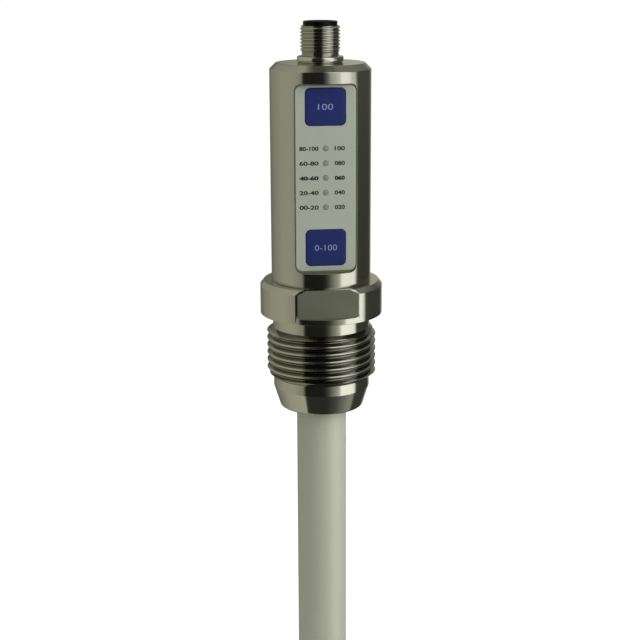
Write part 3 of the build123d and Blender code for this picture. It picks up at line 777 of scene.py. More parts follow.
# The material number of a face says how it was made.
TURNED = 0
MILLED = 1
# How far a cutter reaches past the surface that it cuts, in millimetres.
CUT_MARGIN = 1.0
# Turns a shape that lies flat so that its upper side faces the keypad's side, -Y.
FACING_FRONT = Matrix.Rotation(math.pi / 2, 4, "X")


def push_out(bm, face, distance, keep_back=False):
    """Pushes a face towards -Y by millimetres and returns it. The one left behind goes unless it is kept."""
    pushed = bmesh.ops.extrude_face_region(bm, geom=[face])["geom"]
    if not keep_back:
        bm.faces.remove(face)
    front = next(item for item in pushed if isinstance(item, bmesh.types.BMFace))
    bmesh.ops.translate(bm, verts=front.verts, vec=(0, -distance * MM, 0))
    return front


def add_slab(bm, width, height, corner, back, front, middle=0.0):
    """An upright slab with round corners, between two distances towards -Y in mm. Returns its front face."""
    upright = (
        Matrix.Translation((0, -back * MM, middle * MM))
        @ FACING_FRONT
        @ Matrix.Diagonal((width * MM, height * MM, 1, 1))
    )
    verts = bmesh.ops.create_grid(bm, x_segments=1, y_segments=1, size=0.5, matrix=upright)["verts"]
    if corner:
        verts = round_off(bm, verts, corner, "VERTICES", SLAB_CORNER_SEGMENTS)
    return push_out(bm, verts[0].link_faces[0], front - back, keep_back=True)


def add_cylinder(bm, radius, length, place):
    """A cylinder along the Z axis of its place, its sizes in millimetres."""
    bmesh.ops.create_cone(
        bm,
        cap_ends=True,
        segments=HOLE_SEGMENTS,
        radius1=radius * MM,
        radius2=radius * MM,
        depth=length * MM,
        matrix=place,
    )


def add_rod(bm, radius, back, front, middle=0.0):
    """A round rod along Y between two distances towards -Y, in millimetres."""
    centre = Matrix.Translation((0, -(back + front) / 2 * MM, middle * MM))
    add_cylinder(bm, radius, front - back, centre @ FACING_FRONT)


def soften_front(bm, face, offset, segments=ROUNDING_SEGMENTS):
    """Bevels the edge round a slab's front face."""
    round_off(bm, list(face.edges), offset, "EDGES", segments)


def machine(piece, bm, operation="DIFFERENCE", material=TURNED):
    """Cuts a bmesh out of the piece, or joins it on, and keeps the result as the piece's own mesh."""
    for face in bm.faces:
        face.material_index = material
    tool = to_object(bm, piece.name + "_tool")
    step = piece.modifiers.new("machining", "BOOLEAN")
    step.object = tool
    step.operation = operation
    step.solver = "EXACT"
    result = bpy.data.meshes.new_from_object(piece.evaluated_get(bpy.context.evaluated_depsgraph_get()))
    piece.modifiers.remove(step)
    piece.data = result
    result.shade_smooth()
    result.set_sharp_from_angle(angle=SHARP_ANGLE)
    bpy.data.objects.remove(tool)
    print(f"{piece.name}: {operation.lower()} done, {len(result.polygons)} faces")


def break_edges(piece, offset):
    """Bevels the edges between turned faces and milled ones."""
    bm = bmesh.new()
    bm.from_mesh(piece.data)
    rim = [
        edge
        for edge in bm.edges
        if sorted(face.material_index for face in edge.link_faces) == [TURNED, MILLED]
    ]
    round_off(bm, rim, offset, "EDGES", BROKEN_EDGE_SEGMENTS, material=TURNED, clamp_overlap=True)
    bmesh.ops.dissolve_degenerate(bm, edges=bm.edges, dist=SAME_PLACE)
    bm.to_mesh(piece.data)
    bm.free()
    piece.data.shade_smooth()
    piece.data.set_sharp_from_angle(angle=SHARP_ANGLE)
    print(f"{piece.name}: {len(rim)} edges broken")


print("cutting helpers ready")

# %% [markdown]
# ## Threads that really climb
#
# The construction shows the pipe thread as seven rings, which is right for its size but not for the eye: a
# real thread climbs. The spin operator can do this too, because it moves each step by a small vector. One
# profile of crests and roots, spun once round while it rises by exactly one pitch, closes on itself: each
# crest meets the next one. At both ends a lathe bevels the thread off. So the wall is kept inside two cones
# there, and all that lies beyond is gathered on one ring, where the plain wall goes on.

# %% A helper for threads
SPARE_TURNS = 2
FLANK_CUTS = 2


def add_thread(bm, major, minor, pitch, crest, root, front_crest, top, bottom, rounding, slope):
    """A right-hand thread, in millimetres. Top and bottom are the radius and height of its two end rings."""
    flank = (pitch - crest - root) / 2
    below = math.ceil((front_crest - bottom[1]) / pitch + SPARE_TURNS)
    # The outline stands at +X, and the thread climbs a quarter of its pitch from -Y to there.
    first = front_crest + pitch / 4 - pitch * below
    turns = math.ceil((top[1] - bottom[1]) / pitch) + 2 * SPARE_TURNS
    corners = []
    for number in range(turns):
        middle = first + number * pitch
        corners.append((major, middle - crest / 2, rounding))
        corners.append((major, middle + crest / 2, rounding))
        corners.append((minor, middle + crest / 2 + flank, rounding))
        corners.append((minor, middle + crest / 2 + flank + root, rounding))
    add_outline(bm, corners)
    # Points between crest and root let the thread run out smoothly over its end bevels.
    flanks = [edge for edge in bm.edges if edge.is_wire and edge.calc_length() > flank * MM / 2]
    bmesh.ops.subdivide_edges(bm, edges=flanks, cuts=FLANK_CUTS)
    spin_round(bm, rise=pitch * MM)
    for vert in bm.verts:
        reach = math.hypot(vert.co.x, vert.co.y)
        height = vert.co.z / MM
        if height >= top[1]:
            kept, height = top
        elif height <= bottom[1]:
            kept, height = bottom
        else:
            from_top = top[0] + (top[1] - height) * slope
            from_bottom = bottom[0] + (height - bottom[1]) * slope
            kept = min(reach / MM, from_top, from_bottom)
        vert.co.x *= kept * MM / reach
        vert.co.y *= kept * MM / reach
        vert.co.z = height * MM
    bmesh.ops.remove_doubles(bm, verts=bm.verts, dist=SAME_PLACE)
    bmesh.ops.dissolve_degenerate(bm, edges=bm.edges, dist=SAME_PLACE)


print("thread helper ready")

# %% [markdown]
# ## The process fitting
#
# This is the heaviest piece: one bar of stainless steel, turned to a spigot that goes into the housing, a
# spanner collar, a neck, a G 1 pipe thread with its 55 degree flanks, and a nose with a cone. The thread is
# spun first. Then the rest of the outline, with the bore and its two grooves for sealing rings, is turned
# into the same mesh and merges with the thread's two end rings.

# %% Process fitting
collar_r, nose_bottom, spigot_top = size_of("process_fitting")
housing_r, collar_top, housing_top = size_of("housing")

NECK_R = 14.75
NECK_CORNER = 0.3
# How far the collar's upper bevel goes in, and how far down.
COLLAR_BEVEL = (1.1, 1.35)
THREAD_TOP = -4.2
THREAD_BOTTOM = -19.9
PIPE_MAJOR_R = 33.249 / 2
PIPE_DEPTH = 1.479
PIPE_PITCH = 2.309
PIPE_CREST = 0.3845
PIPE_ROUNDING = 0.19
PIPE_FRONT_CREST = -4.98
PIPE_BEVEL = 1.3
NOSE_R = 14.65
CONE_TOP = -23.0
CONE_END_R = 12.6
NOSE_EDGE_R = 0.6
EDGE_BREAK = 0.12
SPIGOT_R = 12.5
# The floor radius and the width of a groove for a sealing ring.
SPIGOT_GROOVE = (11.53, 1.4)
ROD_GROOVE = (8.93, 1.84)
BORE_R = 7.7
HEAD_SEAT = -8.0
ROD_SEAL_SPACING = 6.0
CAVITY_R = 9.0
# The material number of the thread's faces, after the turned and the milled ones. Their material paints
# shade into the roots and over the thread's bevelled ends.
PIPE_THREAD = 2


def groove(wall_r, size, middle, downwards=False):
    """Four corners of a square groove in a turned wall. Size is its floor's radius and its width."""
    floor_r, width = size
    step = -width / 2 if downwards else width / 2
    return [
        (wall_r, middle - step, 0),
        (floor_r, middle - step, 0),
        (floor_r, middle + step, 0),
        (wall_r, middle + step, 0),
    ]


bm = bmesh.new()
add_thread(
    bm,
    major=PIPE_MAJOR_R,
    minor=PIPE_MAJOR_R - PIPE_DEPTH,
    pitch=PIPE_PITCH,
    crest=PIPE_CREST,
    root=PIPE_CREST,
    front_crest=PIPE_FRONT_CREST,
    top=(NECK_R, THREAD_TOP),
    bottom=(NOSE_R, THREAD_BOTTOM),
    rounding=PIPE_ROUNDING,
    slope=PIPE_BEVEL,
)
for face in bm.faces:
    face.material_index = PIPE_THREAD
add_outline(
    bm,
    [
        (NECK_R, THREAD_TOP, 0),
        (NECK_R, 0, NECK_CORNER),
        (collar_r, 0, EDGE_BREAK),
        (collar_r, collar_top - COLLAR_BEVEL[1], EDGE_BREAK),
        (collar_r - COLLAR_BEVEL[0], collar_top, EDGE_BREAK),
        (SPIGOT_R, collar_top, 0),
        *groove(SPIGOT_R, SPIGOT_GROOVE, (collar_top + spigot_top) / 2),
        (SPIGOT_R, spigot_top, EDGE_BREAK),
        (CAVITY_R, spigot_top, 0),
        (CAVITY_R, HEAD_SEAT, 0),
        (BORE_R, HEAD_SEAT, 0),
        *groove(BORE_R, ROD_GROOVE, HEAD_SEAT - ROD_SEAL_SPACING, downwards=True),
        *groove(BORE_R, ROD_GROOVE, HEAD_SEAT - 2 * ROD_SEAL_SPACING, downwards=True),
        (BORE_R, nose_bottom, EDGE_BREAK),
        (CONE_END_R, nose_bottom, NOSE_EDGE_R),
        (NOSE_R, CONE_TOP, EDGE_BREAK),
        (NOSE_R, THREAD_BOTTOM, 0),
    ],
)
spin_round(bm)
open_edges = sum(edge.is_boundary for edge in bm.edges)
fitting = to_object(bm, "turned_fitting")
print("open edges before milling:", open_edges)

# %% [markdown]
# ## The spanner flats
#
# Two flats across the collar take a spanner. A mill with a rounded cutter makes them and stops above the
# collar's foot, so a full round rim stays below. The side edges and upper corners of each flat are then
# taken down by narrow facets, which catch a line of light. The cutters are slabs and small blocks. Milled
# faces get their own duller steel, because a mill leaves another texture than a lathe.

# %% Spanner flats
SPANNER_WIDTH = 32.0
FLAT_BOTTOM = 1.7
FLAT_CORNER_R = 1.3
FLAT_WIDTH = 19.2
MILL_REACH = 6.0
# Each facet's plane: a point on it, the way it faces, and how tall its cutter is.
EDGE_POINT = (8.9, -16.0, 6.6)
EDGE_NORMAL = (0.259, -0.966, 0.0)
EDGE_HEIGHT = 8.0
CORNER_POINT = (8.0, -15.95, 9.47)
CORNER_NORMAL = (0.20, -0.90, 0.38)
CORNER_HEIGHT = 4.0
FACET_WIDTH = 5.0
FACET_REACH = 3.0


def facets(point, normal, height):
    """Four cutters for narrow facets beside both flats. Point and normal say where one facet lies."""
    bm = bmesh.new()
    for right in (1, -1):
        for front in (1, -1):
            middle = Vector((right * point[0], front * point[1], point[2])) * MM
            outward = Vector((right * normal[0], front * normal[1], normal[2])).normalized()
            up = (Vector((0, 0, 1)) - outward * outward.z).normalized()
            across = up.cross(outward)
            aimed = Matrix((across, up, outward)).transposed().to_4x4()
            sized = Matrix.Diagonal((FACET_WIDTH * MM, height * MM, FACET_REACH * MM, 1))
            shifted = Matrix.Translation(middle + outward * FACET_REACH / 2 * MM)
            bmesh.ops.create_cube(bm, size=1.0, matrix=shifted @ aimed @ sized)
    return bm


spanner_half = SPANNER_WIDTH / 2
cutter_top = collar_top + 2 * FLAT_CORNER_R
for side in (1, -1):
    bm = bmesh.new()
    add_slab(
        bm,
        FLAT_WIDTH,
        cutter_top - FLAT_BOTTOM,
        FLAT_CORNER_R,
        side * spanner_half,
        side * (spanner_half + MILL_REACH),
        middle=(cutter_top + FLAT_BOTTOM) / 2,
    )
    machine(fitting, bm, material=MILLED)
machine(fitting, facets(EDGE_POINT, EDGE_NORMAL, EDGE_HEIGHT))
machine(fitting, facets(CORNER_POINT, CORNER_NORMAL, CORNER_HEIGHT))
dress(
    fitting,
    "fitting_steel",
    stands_for=["process_fitting"],
    finish=[finishes["fitting_steel"], milled_steel, root_shaded_steel],
)

# %% [markdown]
# ## The housing
#
# The head is a turned tube with a closed, bevelled top. Its outline goes up the outer wall, over the top,
# down the hole for the inlet and back along the bore, so one spin makes the inside too.

# %% Housing
SOCKET_R = 12.55
SOCKET_TOP = 13.7
HOUSING_CHAMFER = 1.8
FOOT_BREAK = 0.2
TOP_WALL = 4.0
BORE_BEHIND_KEYS_R = 10.01
SEAL_RECESS_R = 5.9
SEAL_RECESS_DEPTH = 0.9
INLET_HOLE_R = 5.05

bore_top = housing_top - TOP_WALL
seal_floor = housing_top - SEAL_RECESS_DEPTH
housing = to_object(
    turn(
        [
            (SOCKET_R, collar_top, 0),
            (housing_r - FOOT_BREAK, collar_top, 0),
            (housing_r, collar_top + FOOT_BREAK, EDGE_BREAK),
            (housing_r, housing_top - HOUSING_CHAMFER, EDGE_BREAK),
            (housing_r - HOUSING_CHAMFER, housing_top, EDGE_BREAK),
            (SEAL_RECESS_R, housing_top, 0),
            (SEAL_RECESS_R, seal_floor, 0),
            (INLET_HOLE_R, seal_floor, 0),
            (INLET_HOLE_R, bore_top, 0),
            (BORE_BEHIND_KEYS_R, bore_top, 0),
            (BORE_BEHIND_KEYS_R, SOCKET_TOP, 0),
            (SOCKET_R, SOCKET_TOP, 0),
            (SOCKET_R, collar_top, 0),
        ]
    ),
    "turned_housing",
)
print("housing turned:", round(housing_r, 2), "mm in radius, up to", round(housing_top, 2), "mm")

# %% [markdown]
# ## The pocket in the housing
#
# A flat pocket for the keypad is milled into the housing's front, with a deeper recess behind each key and
# small holes for the lamps. On a round wall such a pocket is deep in the middle and very shallow at its
# sides, where only a fine line of wall is left. Slabs and rods are the cutters, and the pocket's is a
# little larger than the panel that sits in it. Places and sizes are measured on the frame, so the pocket
# always fits its panel.

# %% Pocket, key recesses and holes
POCKET_END_GAP = 0.45
POCKET_SIDE_GAP = 0.3
POCKET_EDGE = 0.1
PANEL_CORNER_R = 2.0
# Width, height and corner radius.
KEY_RECESS = (13.1, 12.1, 2.15)
KEY_RECESS_FLOOR = 10.71
STEM_HOLE_R = 1.7
LAMP_HOLE_R = 0.85
LAMP_COUNT = 5


def middle_of(node):
    """The height of a node's middle, in millimetres."""
    low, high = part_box(node)
    return (low.z + high.z) / 2 / MM


panel_low, panel_high = (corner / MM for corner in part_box("keypad_panel"))
pocket_floor = -panel_high.y
panel_face = -panel_low.y
panel_width = panel_high.x - panel_low.x
panel_height = panel_high.z - panel_low.z
panel_middle = (panel_high.z + panel_low.z) / 2
key_places = {place: middle_of(place + "_key") for place in ("upper", "lower")}
lamp_heights = [middle_of(f"light_guide_{number}") for number in range(1, LAMP_COUNT + 1)]

bm = bmesh.new()
add_slab(
    bm,
    panel_width + 2 * POCKET_SIDE_GAP,
    panel_height + 2 * POCKET_END_GAP,
    PANEL_CORNER_R,
    pocket_floor,
    housing_r + CUT_MARGIN,
    middle=panel_middle,
)
machine(housing, bm, material=MILLED)
break_edges(housing, POCKET_EDGE)
bm = bmesh.new()
for height in key_places.values():
    add_slab(bm, *KEY_RECESS, KEY_RECESS_FLOOR, housing_r, middle=height)
for height in lamp_heights:
    add_rod(bm, LAMP_HOLE_R, 0, housing_r, middle=height)
machine(housing, bm, material=MILLED)
bm = bmesh.new()
for height in key_places.values():
    add_rod(bm, STEM_HOLE_R, 0, housing_r, middle=height)
machine(housing, bm, material=MILLED)
dress(
    housing,
    "housing_steel",
    stands_for=["housing"],
    finish=[finishes["housing_steel"], milled_steel],
)

# %% [markdown]
# ## The keypad panel
#
# The panel is a plate with rounded corners under a printed film, bonded into the pocket. Its front edge is
# softened, because a light rim is what tells the eye that it is a separate plate. Two windows let the keys
# through and five small holes the lamps.

# %% Keypad panel
PANEL_EDGE = 0.22
# Width, height and corner radius.
KEY_WINDOW = (12.0, 11.0, 1.6)

bm = bmesh.new()
front = add_slab(
    bm, panel_width, panel_height, PANEL_CORNER_R, pocket_floor, panel_face, middle=panel_middle
)
soften_front(bm, front, PANEL_EDGE)
panel = to_object(bm, "printed_panel")
bm = bmesh.new()
cutter_back = pocket_floor - CUT_MARGIN
cutter_front = panel_face + CUT_MARGIN
for height in key_places.values():
    add_slab(bm, *KEY_WINDOW, cutter_back, cutter_front, middle=height)
for height in lamp_heights:
    add_rod(bm, LAMP_HOLE_R, cutter_back, cutter_front, middle=height)
machine(panel, bm)
dress(panel, "panel_print", stands_for=["keypad_panel"])

# %% [markdown]
# ## The keys
#
# Each key is one moulding: a cap, a flange that the panel holds in, and a stem to its switch. A key is
# built from its back to its front: first the flange as a slab, then an inset of the flange's face, pushed
# out as the cap. The cap's face is pushed out twice more and narrowed each time, which gives it the faint
# crown that a fingertip feels. The key rides on its own body, so it goes in when the joint moves.

# %% Keys
KEY_GAP = 0.15
KEY_FLANGE_REACH = 0.3
KEY_FLANGE_THICKNESS = 0.35
KEY_FLANGE_PLAY = 0.1
KEY_EDGE = 0.16
KEY_EDGE_SEGMENTS = 4
KEY_CROWN = 0.05
KEY_CROWN_WIDTHS = (0.9, 0.8)
STEM_R = 1.5
STEM_OVERLAP = 0.1

window_width, window_height, window_corner = KEY_WINDOW
key_low, key_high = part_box("upper_key")
key_face = -key_low.y / MM
stem_end = -key_high.y / MM
flange_front = pocket_floor - KEY_FLANGE_PLAY
flange_back = flange_front - KEY_FLANGE_THICKNESS
crown_step = KEY_CROWN / len(KEY_CROWN_WIDTHS)
for place, height in key_places.items():
    bm = bmesh.new()
    flange_face = add_slab(
        bm,
        window_width + 2 * KEY_FLANGE_REACH,
        window_height + 2 * KEY_FLANGE_REACH,
        window_corner + KEY_FLANGE_REACH,
        flange_back,
        flange_front,
        middle=height,
    )
    bmesh.ops.inset_region(
        bm, faces=[flange_face], thickness=(KEY_FLANGE_REACH + KEY_GAP) * MM, use_even_offset=True
    )
    cap_face = push_out(bm, flange_face, key_face - KEY_CROWN - flange_front)
    soften_front(bm, cap_face, KEY_EDGE, KEY_EDGE_SEGMENTS)
    cap_face = min(bm.faces, key=lambda face: face.calc_center_median().y)
    at_middle = Matrix.Translation((0, 0, -height * MM))
    for width in KEY_CROWN_WIDTHS:
        cap_face = push_out(bm, cap_face, crown_step)
        bmesh.ops.scale(bm, vec=(width, 1, width), space=at_middle, verts=cap_face.verts)
    key = to_object(bm, place + "_keycap")
    bm = bmesh.new()
    add_rod(bm, STEM_R, stem_end, flange_back + STEM_OVERLAP, middle=height)
    machine(key, bm, operation="UNION")
    dress(key, "key_blue", body=place + "_key", stands_for=[place + "_key"])

# %% [markdown]
# ## Lamp windows
#
# Between the marks sit five small round windows. Each is a clear moulding that brings the light of a lamp
# on the board to the panel's face: a thin stem through the panel and the wall, a flange behind the wall,
# and a tail towards the lamp. They are turned parts as well, only their axis points to the front. So they
# are turned about Z first and then laid over, and their faces get a slight dome.

# %% Lamp windows
GUIDE_R = 0.8
GUIDE_FLANGE_R = 1.5
GUIDE_TAIL_R = 1.1
GUIDE_FLANGE_THICKNESS = 0.8
GUIDE_WALL_GAP = 0.05
GUIDE_DOME = 0.12
GUIDE_DOME_ROUNDING = 0.1
# Points of the dome: shares of the radius, and of the dome's height below its top.
GUIDE_DOME_POINTS = ((0.8, 0.4), (0.4, 0.06))
GUIDE_COLUMNS = 48

guide_end = -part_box("light_guide_1")[1].y / MM
guide_flange = math.sqrt(BORE_BEHIND_KEYS_R**2 - GUIDE_FLANGE_R**2) - GUIDE_WALL_GAP
dome_points = [
    (GUIDE_R * share, panel_face - GUIDE_DOME * drop, GUIDE_DOME_ROUNDING)
    for share, drop in GUIDE_DOME_POINTS
]
for number, height in enumerate(lamp_heights, start=1):
    bm = turn(
        [
            (0, guide_end, 0),
            (GUIDE_TAIL_R, guide_end, 0),
            (GUIDE_TAIL_R, guide_flange - GUIDE_FLANGE_THICKNESS, 0),
            (GUIDE_FLANGE_R, guide_flange - GUIDE_FLANGE_THICKNESS, 0),
            (GUIDE_FLANGE_R, guide_flange, 0),
            (GUIDE_R, guide_flange, 0),
            (GUIDE_R, panel_face - GUIDE_DOME, 0),
            *dome_points,
            (0, panel_face, 0),
        ],
        columns=GUIDE_COLUMNS,
    )
    laid_over = Matrix.Translation((0, 0, height * MM)) @ FACING_FRONT
    bmesh.ops.transform(bm, matrix=laid_over, verts=bm.verts)
    dress(
        to_object(bm, f"lamp_window_{number}"),
        "guide_plastic",
        stands_for=[f"light_guide_{number}"],
    )

# %% [markdown]
# ## Printed marks
#
# Beside each lamp the real panel carries small print. Here it holds plain numbers of about the same size: a
# range to the left of each lamp and a value to the right, the middle row in bolder type. The keys carry
# pale numbers. Text in Blender is a curve, so it is made a mesh first, then scaled to the height that print
# has on the panel, stood upright, and set two hundredths of a millimetre proud, like a screen-printed layer
# of ink.

# %% Printed marks
INK_THICKNESS = 0.02
LETTER_DEPTH = 0.5
LETTER_SMOOTHNESS = 4
MARK_HEIGHT = 1.25
LEFT_MARK_X = -4.87
RIGHT_MARK_X = 4.14
LEFT_MARK_WIDTH = 5.6
RIGHT_MARK_WIDTH = 3.0
KEY_MARK_HEIGHT = 1.75
BOLD_ROW = 3
BOLD_WEIGHT = 0.055
PLAIN_WEIGHT = 0.03
LEFT_MARKS = ["80-100", "60-80", "40-60", "20-40", "00-20"]
RIGHT_MARKS = ["100", "080", "060", "040", "020"]
KEY_MARKS = {"upper": ("100", 4.4), "lower": ("0-100", 6.6)}


def print_mark(name, words, width, height, x, z, face, ink, body="base", weight=0.0):
    """Text as a thin raised mesh, fitted to a width and height in millimetres, on a face towards -Y."""
    curve = bpy.data.curves.new(name, "FONT")
    curve.body = words
    curve.align_x = "CENTER"
    curve.align_y = "CENTER"
    curve.offset = weight
    curve.extrude = LETTER_DEPTH
    curve.resolution_u = LETTER_SMOOTHNESS
    source = bpy.data.objects.new(name + "_curve", curve)
    scene.collection.objects.link(source)
    mesh = bpy.data.meshes.new_from_object(source.evaluated_get(bpy.context.evaluated_depsgraph_get()))
    bpy.data.objects.remove(source)
    low = Vector([min(vert.co[axis] for vert in mesh.vertices) for axis in range(3)])
    high = Vector([max(vert.co[axis] for vert in mesh.vertices) for axis in range(3)])
    size = high - low
    fit = Matrix.Diagonal((width * MM / size.x, height * MM / size.y, INK_THICKNESS * MM / size.z, 1))
    centre = Matrix.Translation(-(low + high) / 2)
    on_face = Matrix.Translation((x * MM, -(face + INK_THICKNESS / 2) * MM, z * MM))
    mesh.transform(on_face @ FACING_FRONT @ fit @ centre)
    mark = bpy.data.objects.new(name, mesh)
    scene.collection.objects.link(mark)
    bm = bmesh.new()
    bm.from_mesh(mesh)
    bmesh.ops.remove_doubles(bm, verts=bm.verts, dist=SAME_PLACE)
    bm.to_mesh(mesh)
    bm.free()
    mark.data.materials.append(ink)
    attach(mark, body)


for row, height in enumerate(lamp_heights, start=1):
    weight = BOLD_WEIGHT if row == BOLD_ROW else PLAIN_WEIGHT
    for side, words, width, x in (
        ("left", LEFT_MARKS[row - 1], LEFT_MARK_WIDTH, LEFT_MARK_X),
        ("right", RIGHT_MARKS[row - 1], RIGHT_MARK_WIDTH, RIGHT_MARK_X),
    ):
        print_mark(
            f"{side}_mark_{row}", words, width, MARK_HEIGHT, x, height, panel_face, dark_ink, weight=weight
        )
for place, (words, width) in KEY_MARKS.items():
    print_mark(
        place + "_key_mark",
        words,
        width,
        KEY_MARK_HEIGHT,
        0,
        key_places[place],
        key_face,
        pale_ink,
        body=place + "_key",
    )
print("marks printed:", 2 * LAMP_COUNT + len(KEY_MARKS))

# %% [markdown]
# ## The plug inlet
#
# The inlet is a nickel-plated shell with an M12 thread, a neck and a round flange that clamps a sealing
# ring on the housing. It is made as the fitting is, thread first and outline second.

# %% Inlet shell
INLET_NECK_R = 5.4
INLET_THREAD_FOOT = 78.1
INLET_FLANGE_TOP = 77.0
INLET_FLANGE_EDGE = 0.5
# How far the flange's lower edge goes in, and how far up.
INLET_FLANGE_SLANT = (0.4, 0.45)
INLET_SLANT_ROUNDING = 0.3
INLET_NECK_CORNER = 0.15
INLET_MOUTH_ROUNDING = 0.05
# The material number of the thread's and the neck's faces, after the turned ones. Their material paints
# shade into the thread's roots and over the neck, which lies as deep as a root.
M12_THREAD = 1
M12_MAJOR_R = 5.92
M12_MINOR_R = 5.459
M12_PITCH = 1.0
M12_CREST = 0.125
M12_ROOT = 0.25
M12_ROUNDING = 0.06
M12_FRONT_CREST = 85.02
M12_BEVEL = 1.0
M12_END_R = 5.5
INLET_SHANK_R = 5.0
INLET_BORE_R = 4.9
INLET_TAIL_BORE_R = 4.25

inlet_flange_r, shank_end, inlet_top = size_of("inlet_shell")
bm = bmesh.new()
add_thread(
    bm,
    major=M12_MAJOR_R,
    minor=M12_MINOR_R,
    pitch=M12_PITCH,
    crest=M12_CREST,
    root=M12_ROOT,
    front_crest=M12_FRONT_CREST,
    top=(M12_END_R, inlet_top),
    bottom=(INLET_NECK_R, INLET_THREAD_FOOT),
    rounding=M12_ROUNDING,
    slope=M12_BEVEL,
)
for face in bm.faces:
    face.material_index = M12_THREAD
add_outline(
    bm,
    [
        (M12_END_R, inlet_top, 0),
        (INLET_BORE_R, inlet_top, INLET_MOUTH_ROUNDING),
        (INLET_BORE_R, INLET_THREAD_FOOT, 0),
        (INLET_TAIL_BORE_R, INLET_THREAD_FOOT, 0),
        (INLET_TAIL_BORE_R, shank_end, 0),
        (INLET_SHANK_R, shank_end, EDGE_BREAK),
        (INLET_SHANK_R, housing_top, 0),
        (inlet_flange_r - INLET_FLANGE_SLANT[0], housing_top, 0),
        (inlet_flange_r, housing_top + INLET_FLANGE_SLANT[1], INLET_SLANT_ROUNDING),
        (inlet_flange_r, INLET_FLANGE_TOP, INLET_FLANGE_EDGE),
        (INLET_NECK_R, INLET_FLANGE_TOP, INLET_NECK_CORNER),
        (INLET_NECK_R, INLET_THREAD_FOOT, 0),
    ],
)
spin_round(bm)
# The neck gets the thread's material, so it takes the painted root shade all over.
for face in bm.faces:
    middle = face.calc_center_median()
    if INLET_FLANGE_TOP < middle.z / MM < INLET_THREAD_FOOT and middle.xy.length / MM > INLET_SHANK_R:
        face.material_index = M12_THREAD
print("open edges:", sum(edge.is_boundary for edge in bm.edges))
dress(
    to_object(bm, "threaded_inlet"),
    "inlet_nickel",
    stands_for=["inlet_shell"],
    finish=[finishes["inlet_nickel"], root_shaded_nickel],
)

# %% [markdown]
# ## The contact carrier
#
# Inside the shell sits a black moulding with a cup and a coding rib, which holds five gold pins. The cup is
# a turned outline, the rib is joined on with a Boolean union, and five cylinders cut the holes for the
# pins.

# %% Contact carrier
CARRIER_GAP = 0.05
CARRIER_RIM_EDGE = 0.2
CARRIER_FOOT_ROUNDING = 0.08
RIM_INSET = 0.2
CUP_R = 4.3
CUP_DEPTH = 8.0
CUP_EDGE = 0.1
CUP_FLOOR_ROUNDING = 0.2
# Width, and how far it stands out of the cup's wall.
RIB_SIZE = (1.0, 0.7)
RIB_BELOW_RIM = 1.0
# How far the rib reaches into the cup's floor and into its wall.
RIB_ROOT = 0.5
RIB_BITE = 0.2
CONTACT_R = 0.5
CONTACT_PLAY = 0.02
CONTACT_CIRCLE_R = 2.5

rim_r, carrier_end, rim_top = size_of("contact_carrier")
cup_floor = rim_top - CUP_DEPTH
carrier = to_object(
    turn(
        [
            (0, carrier_end, 0),
            (INLET_TAIL_BORE_R - CARRIER_GAP, carrier_end, 0),
            (INLET_TAIL_BORE_R - CARRIER_GAP, INLET_THREAD_FOOT, 0),
            (INLET_BORE_R - CARRIER_GAP, INLET_THREAD_FOOT, 0),
            (INLET_BORE_R - CARRIER_GAP, inlet_top, 0),
            (rim_r - RIM_INSET, inlet_top, CARRIER_FOOT_ROUNDING),
            (rim_r - RIM_INSET, rim_top, CARRIER_RIM_EDGE),
            (CUP_R, rim_top, CUP_EDGE),
            (CUP_R, cup_floor, CUP_FLOOR_ROUNDING),
            (0, cup_floor, 0),
        ]
    ),
    "inlet_carrier",
)
bm = bmesh.new()
rib_width, rib_depth = RIB_SIZE
rib_foot = cup_floor - RIB_ROOT
rib_top = rim_top - RIB_BELOW_RIM
add_slab(bm, rib_width, rib_top - rib_foot, 0, CUP_R - rib_depth, CUP_R + RIB_BITE)
bmesh.ops.translate(bm, verts=bm.verts, vec=(0, 0, (rib_foot + rib_top) / 2 * MM))
machine(carrier, bm, operation="UNION")
contact_angles = [math.radians(45 + 90 * quarter) for quarter in range(4)]
contact_places = [
    Vector((math.cos(angle), math.sin(angle), 0)) * CONTACT_CIRCLE_R * MM for angle in contact_angles
]
contact_places.append(Vector((0, 0, 0)))
carrier_middle = Vector((0, 0, (cup_floor + carrier_end) / 2 * MM))
bm = bmesh.new()
for place in contact_places:
    add_cylinder(
        bm,
        CONTACT_R + CONTACT_PLAY,
        cup_floor - carrier_end + CUT_MARGIN,
        Matrix.Translation(place + carrier_middle),
    )
machine(carrier, bm)
dress(carrier, "carrier_black", stands_for=["contact_carrier"])

# %% [markdown]
# ## The contact pins
#
# Four pins stand on a circle and the fifth in its middle. Each is a piece of its own on the real object, a
# small turned part with a rounded tip. All are turned on the axis, where the outline is simplest, and moved
# afterwards.

# %% Contact pins
CONTACT_TAIL_R = 0.4
CONTACT_TIP_ROUNDING = 0.25
CONTACT_COLUMNS = 32

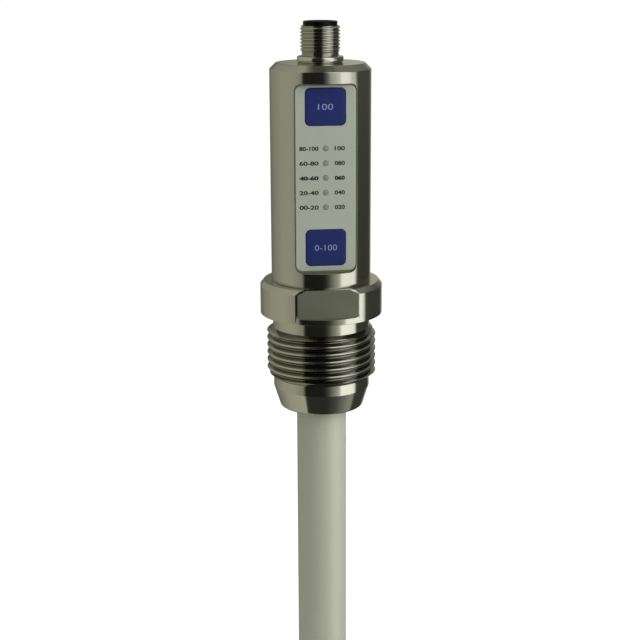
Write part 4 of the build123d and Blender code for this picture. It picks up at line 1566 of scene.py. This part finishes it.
for number, place in enumerate(contact_places, start=1):
    low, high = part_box(f"contact_{number}")
    bm = turn(
        [
            (0, low.z / MM, 0),
            (CONTACT_TAIL_R, low.z / MM, 0),
            (CONTACT_TAIL_R, carrier_end, 0),
            (CONTACT_R, carrier_end, 0),
            (CONTACT_R, high.z / MM, CONTACT_TIP_ROUNDING),
            (0, high.z / MM, 0),
        ],
        columns=CONTACT_COLUMNS,
    )
    bmesh.ops.translate(bm, verts=bm.verts, vec=place)
    dress(to_object(bm, f"gold_pin_{number}"), "contact_gold", stands_for=[f"contact_{number}"])

# %% [markdown]
# ## The rod
#
# The probe is a smooth white plastic tube over a metal rod, closed and rounded at its lower end. It is the
# simplest outline of all, and its finish does the work: a satin surface, on which the soft lamp draws one
# broad gradient.

# %% Rod sheath
SHEATH_R = 7.65
SHEATH_BORE_R = 4.05
SHEATH_END_R = 2.5
SHEATH_END_WALL = 5.0
SHEATH_END_SEGMENTS = 8

sheath_seat_r, sheath_end, sheath_head_top = size_of("rod_sheath")

dress(
    to_object(
        turn(
            [
                (0, sheath_end, 0),
                (SHEATH_R, sheath_end, SHEATH_END_R),
                (SHEATH_R, HEAD_SEAT, 0),
                (sheath_seat_r, HEAD_SEAT, 0),
                (sheath_seat_r, sheath_head_top, 0),
                (SHEATH_BORE_R, sheath_head_top, 0),
                (SHEATH_BORE_R, sheath_end + SHEATH_END_WALL, 0),
                (0, sheath_end + SHEATH_END_WALL, 0),
            ],
            segments=SHEATH_END_SEGMENTS,
        ),
        "white_rod",
    ),
    "rod_plastic",
    stands_for=["rod_sheath"],
)

# %% [markdown]
# ## The pieces inside
#
# Boards, switches, lamps, nuts and seals are out of sight and keep the shape that the frame gives them.
# They still get their own finish, from the slot that the record names for each, so that a section or an
# exploded view of the part looks right as well.

# %% Finish the carried-over pieces
slots = {part["node"]: part["material_slot"] for part in frame["record"]["subparts"]}
kept = [name for name, obj in frame["nodes"].items() if not obj.hide_render]
for name in kept:
    node_mesh = frame["nodes"][name].data
    node_mesh.materials.clear()
    node_mesh.materials.append(finishes[slots[name]])
print("pieces kept from the frame:", len(kept))

# %% [markdown]
# ## The size against the construction
#
# A dressed object must not grow beyond its construction. The two boxes are written side by side.

# %% Compare with the construction and finish
dressed_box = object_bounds()
for name, box in (("cad", cad_box), ("visual", dressed_box)):
    print(name, [round(value / MM, 2) for corner in box for value in corner])
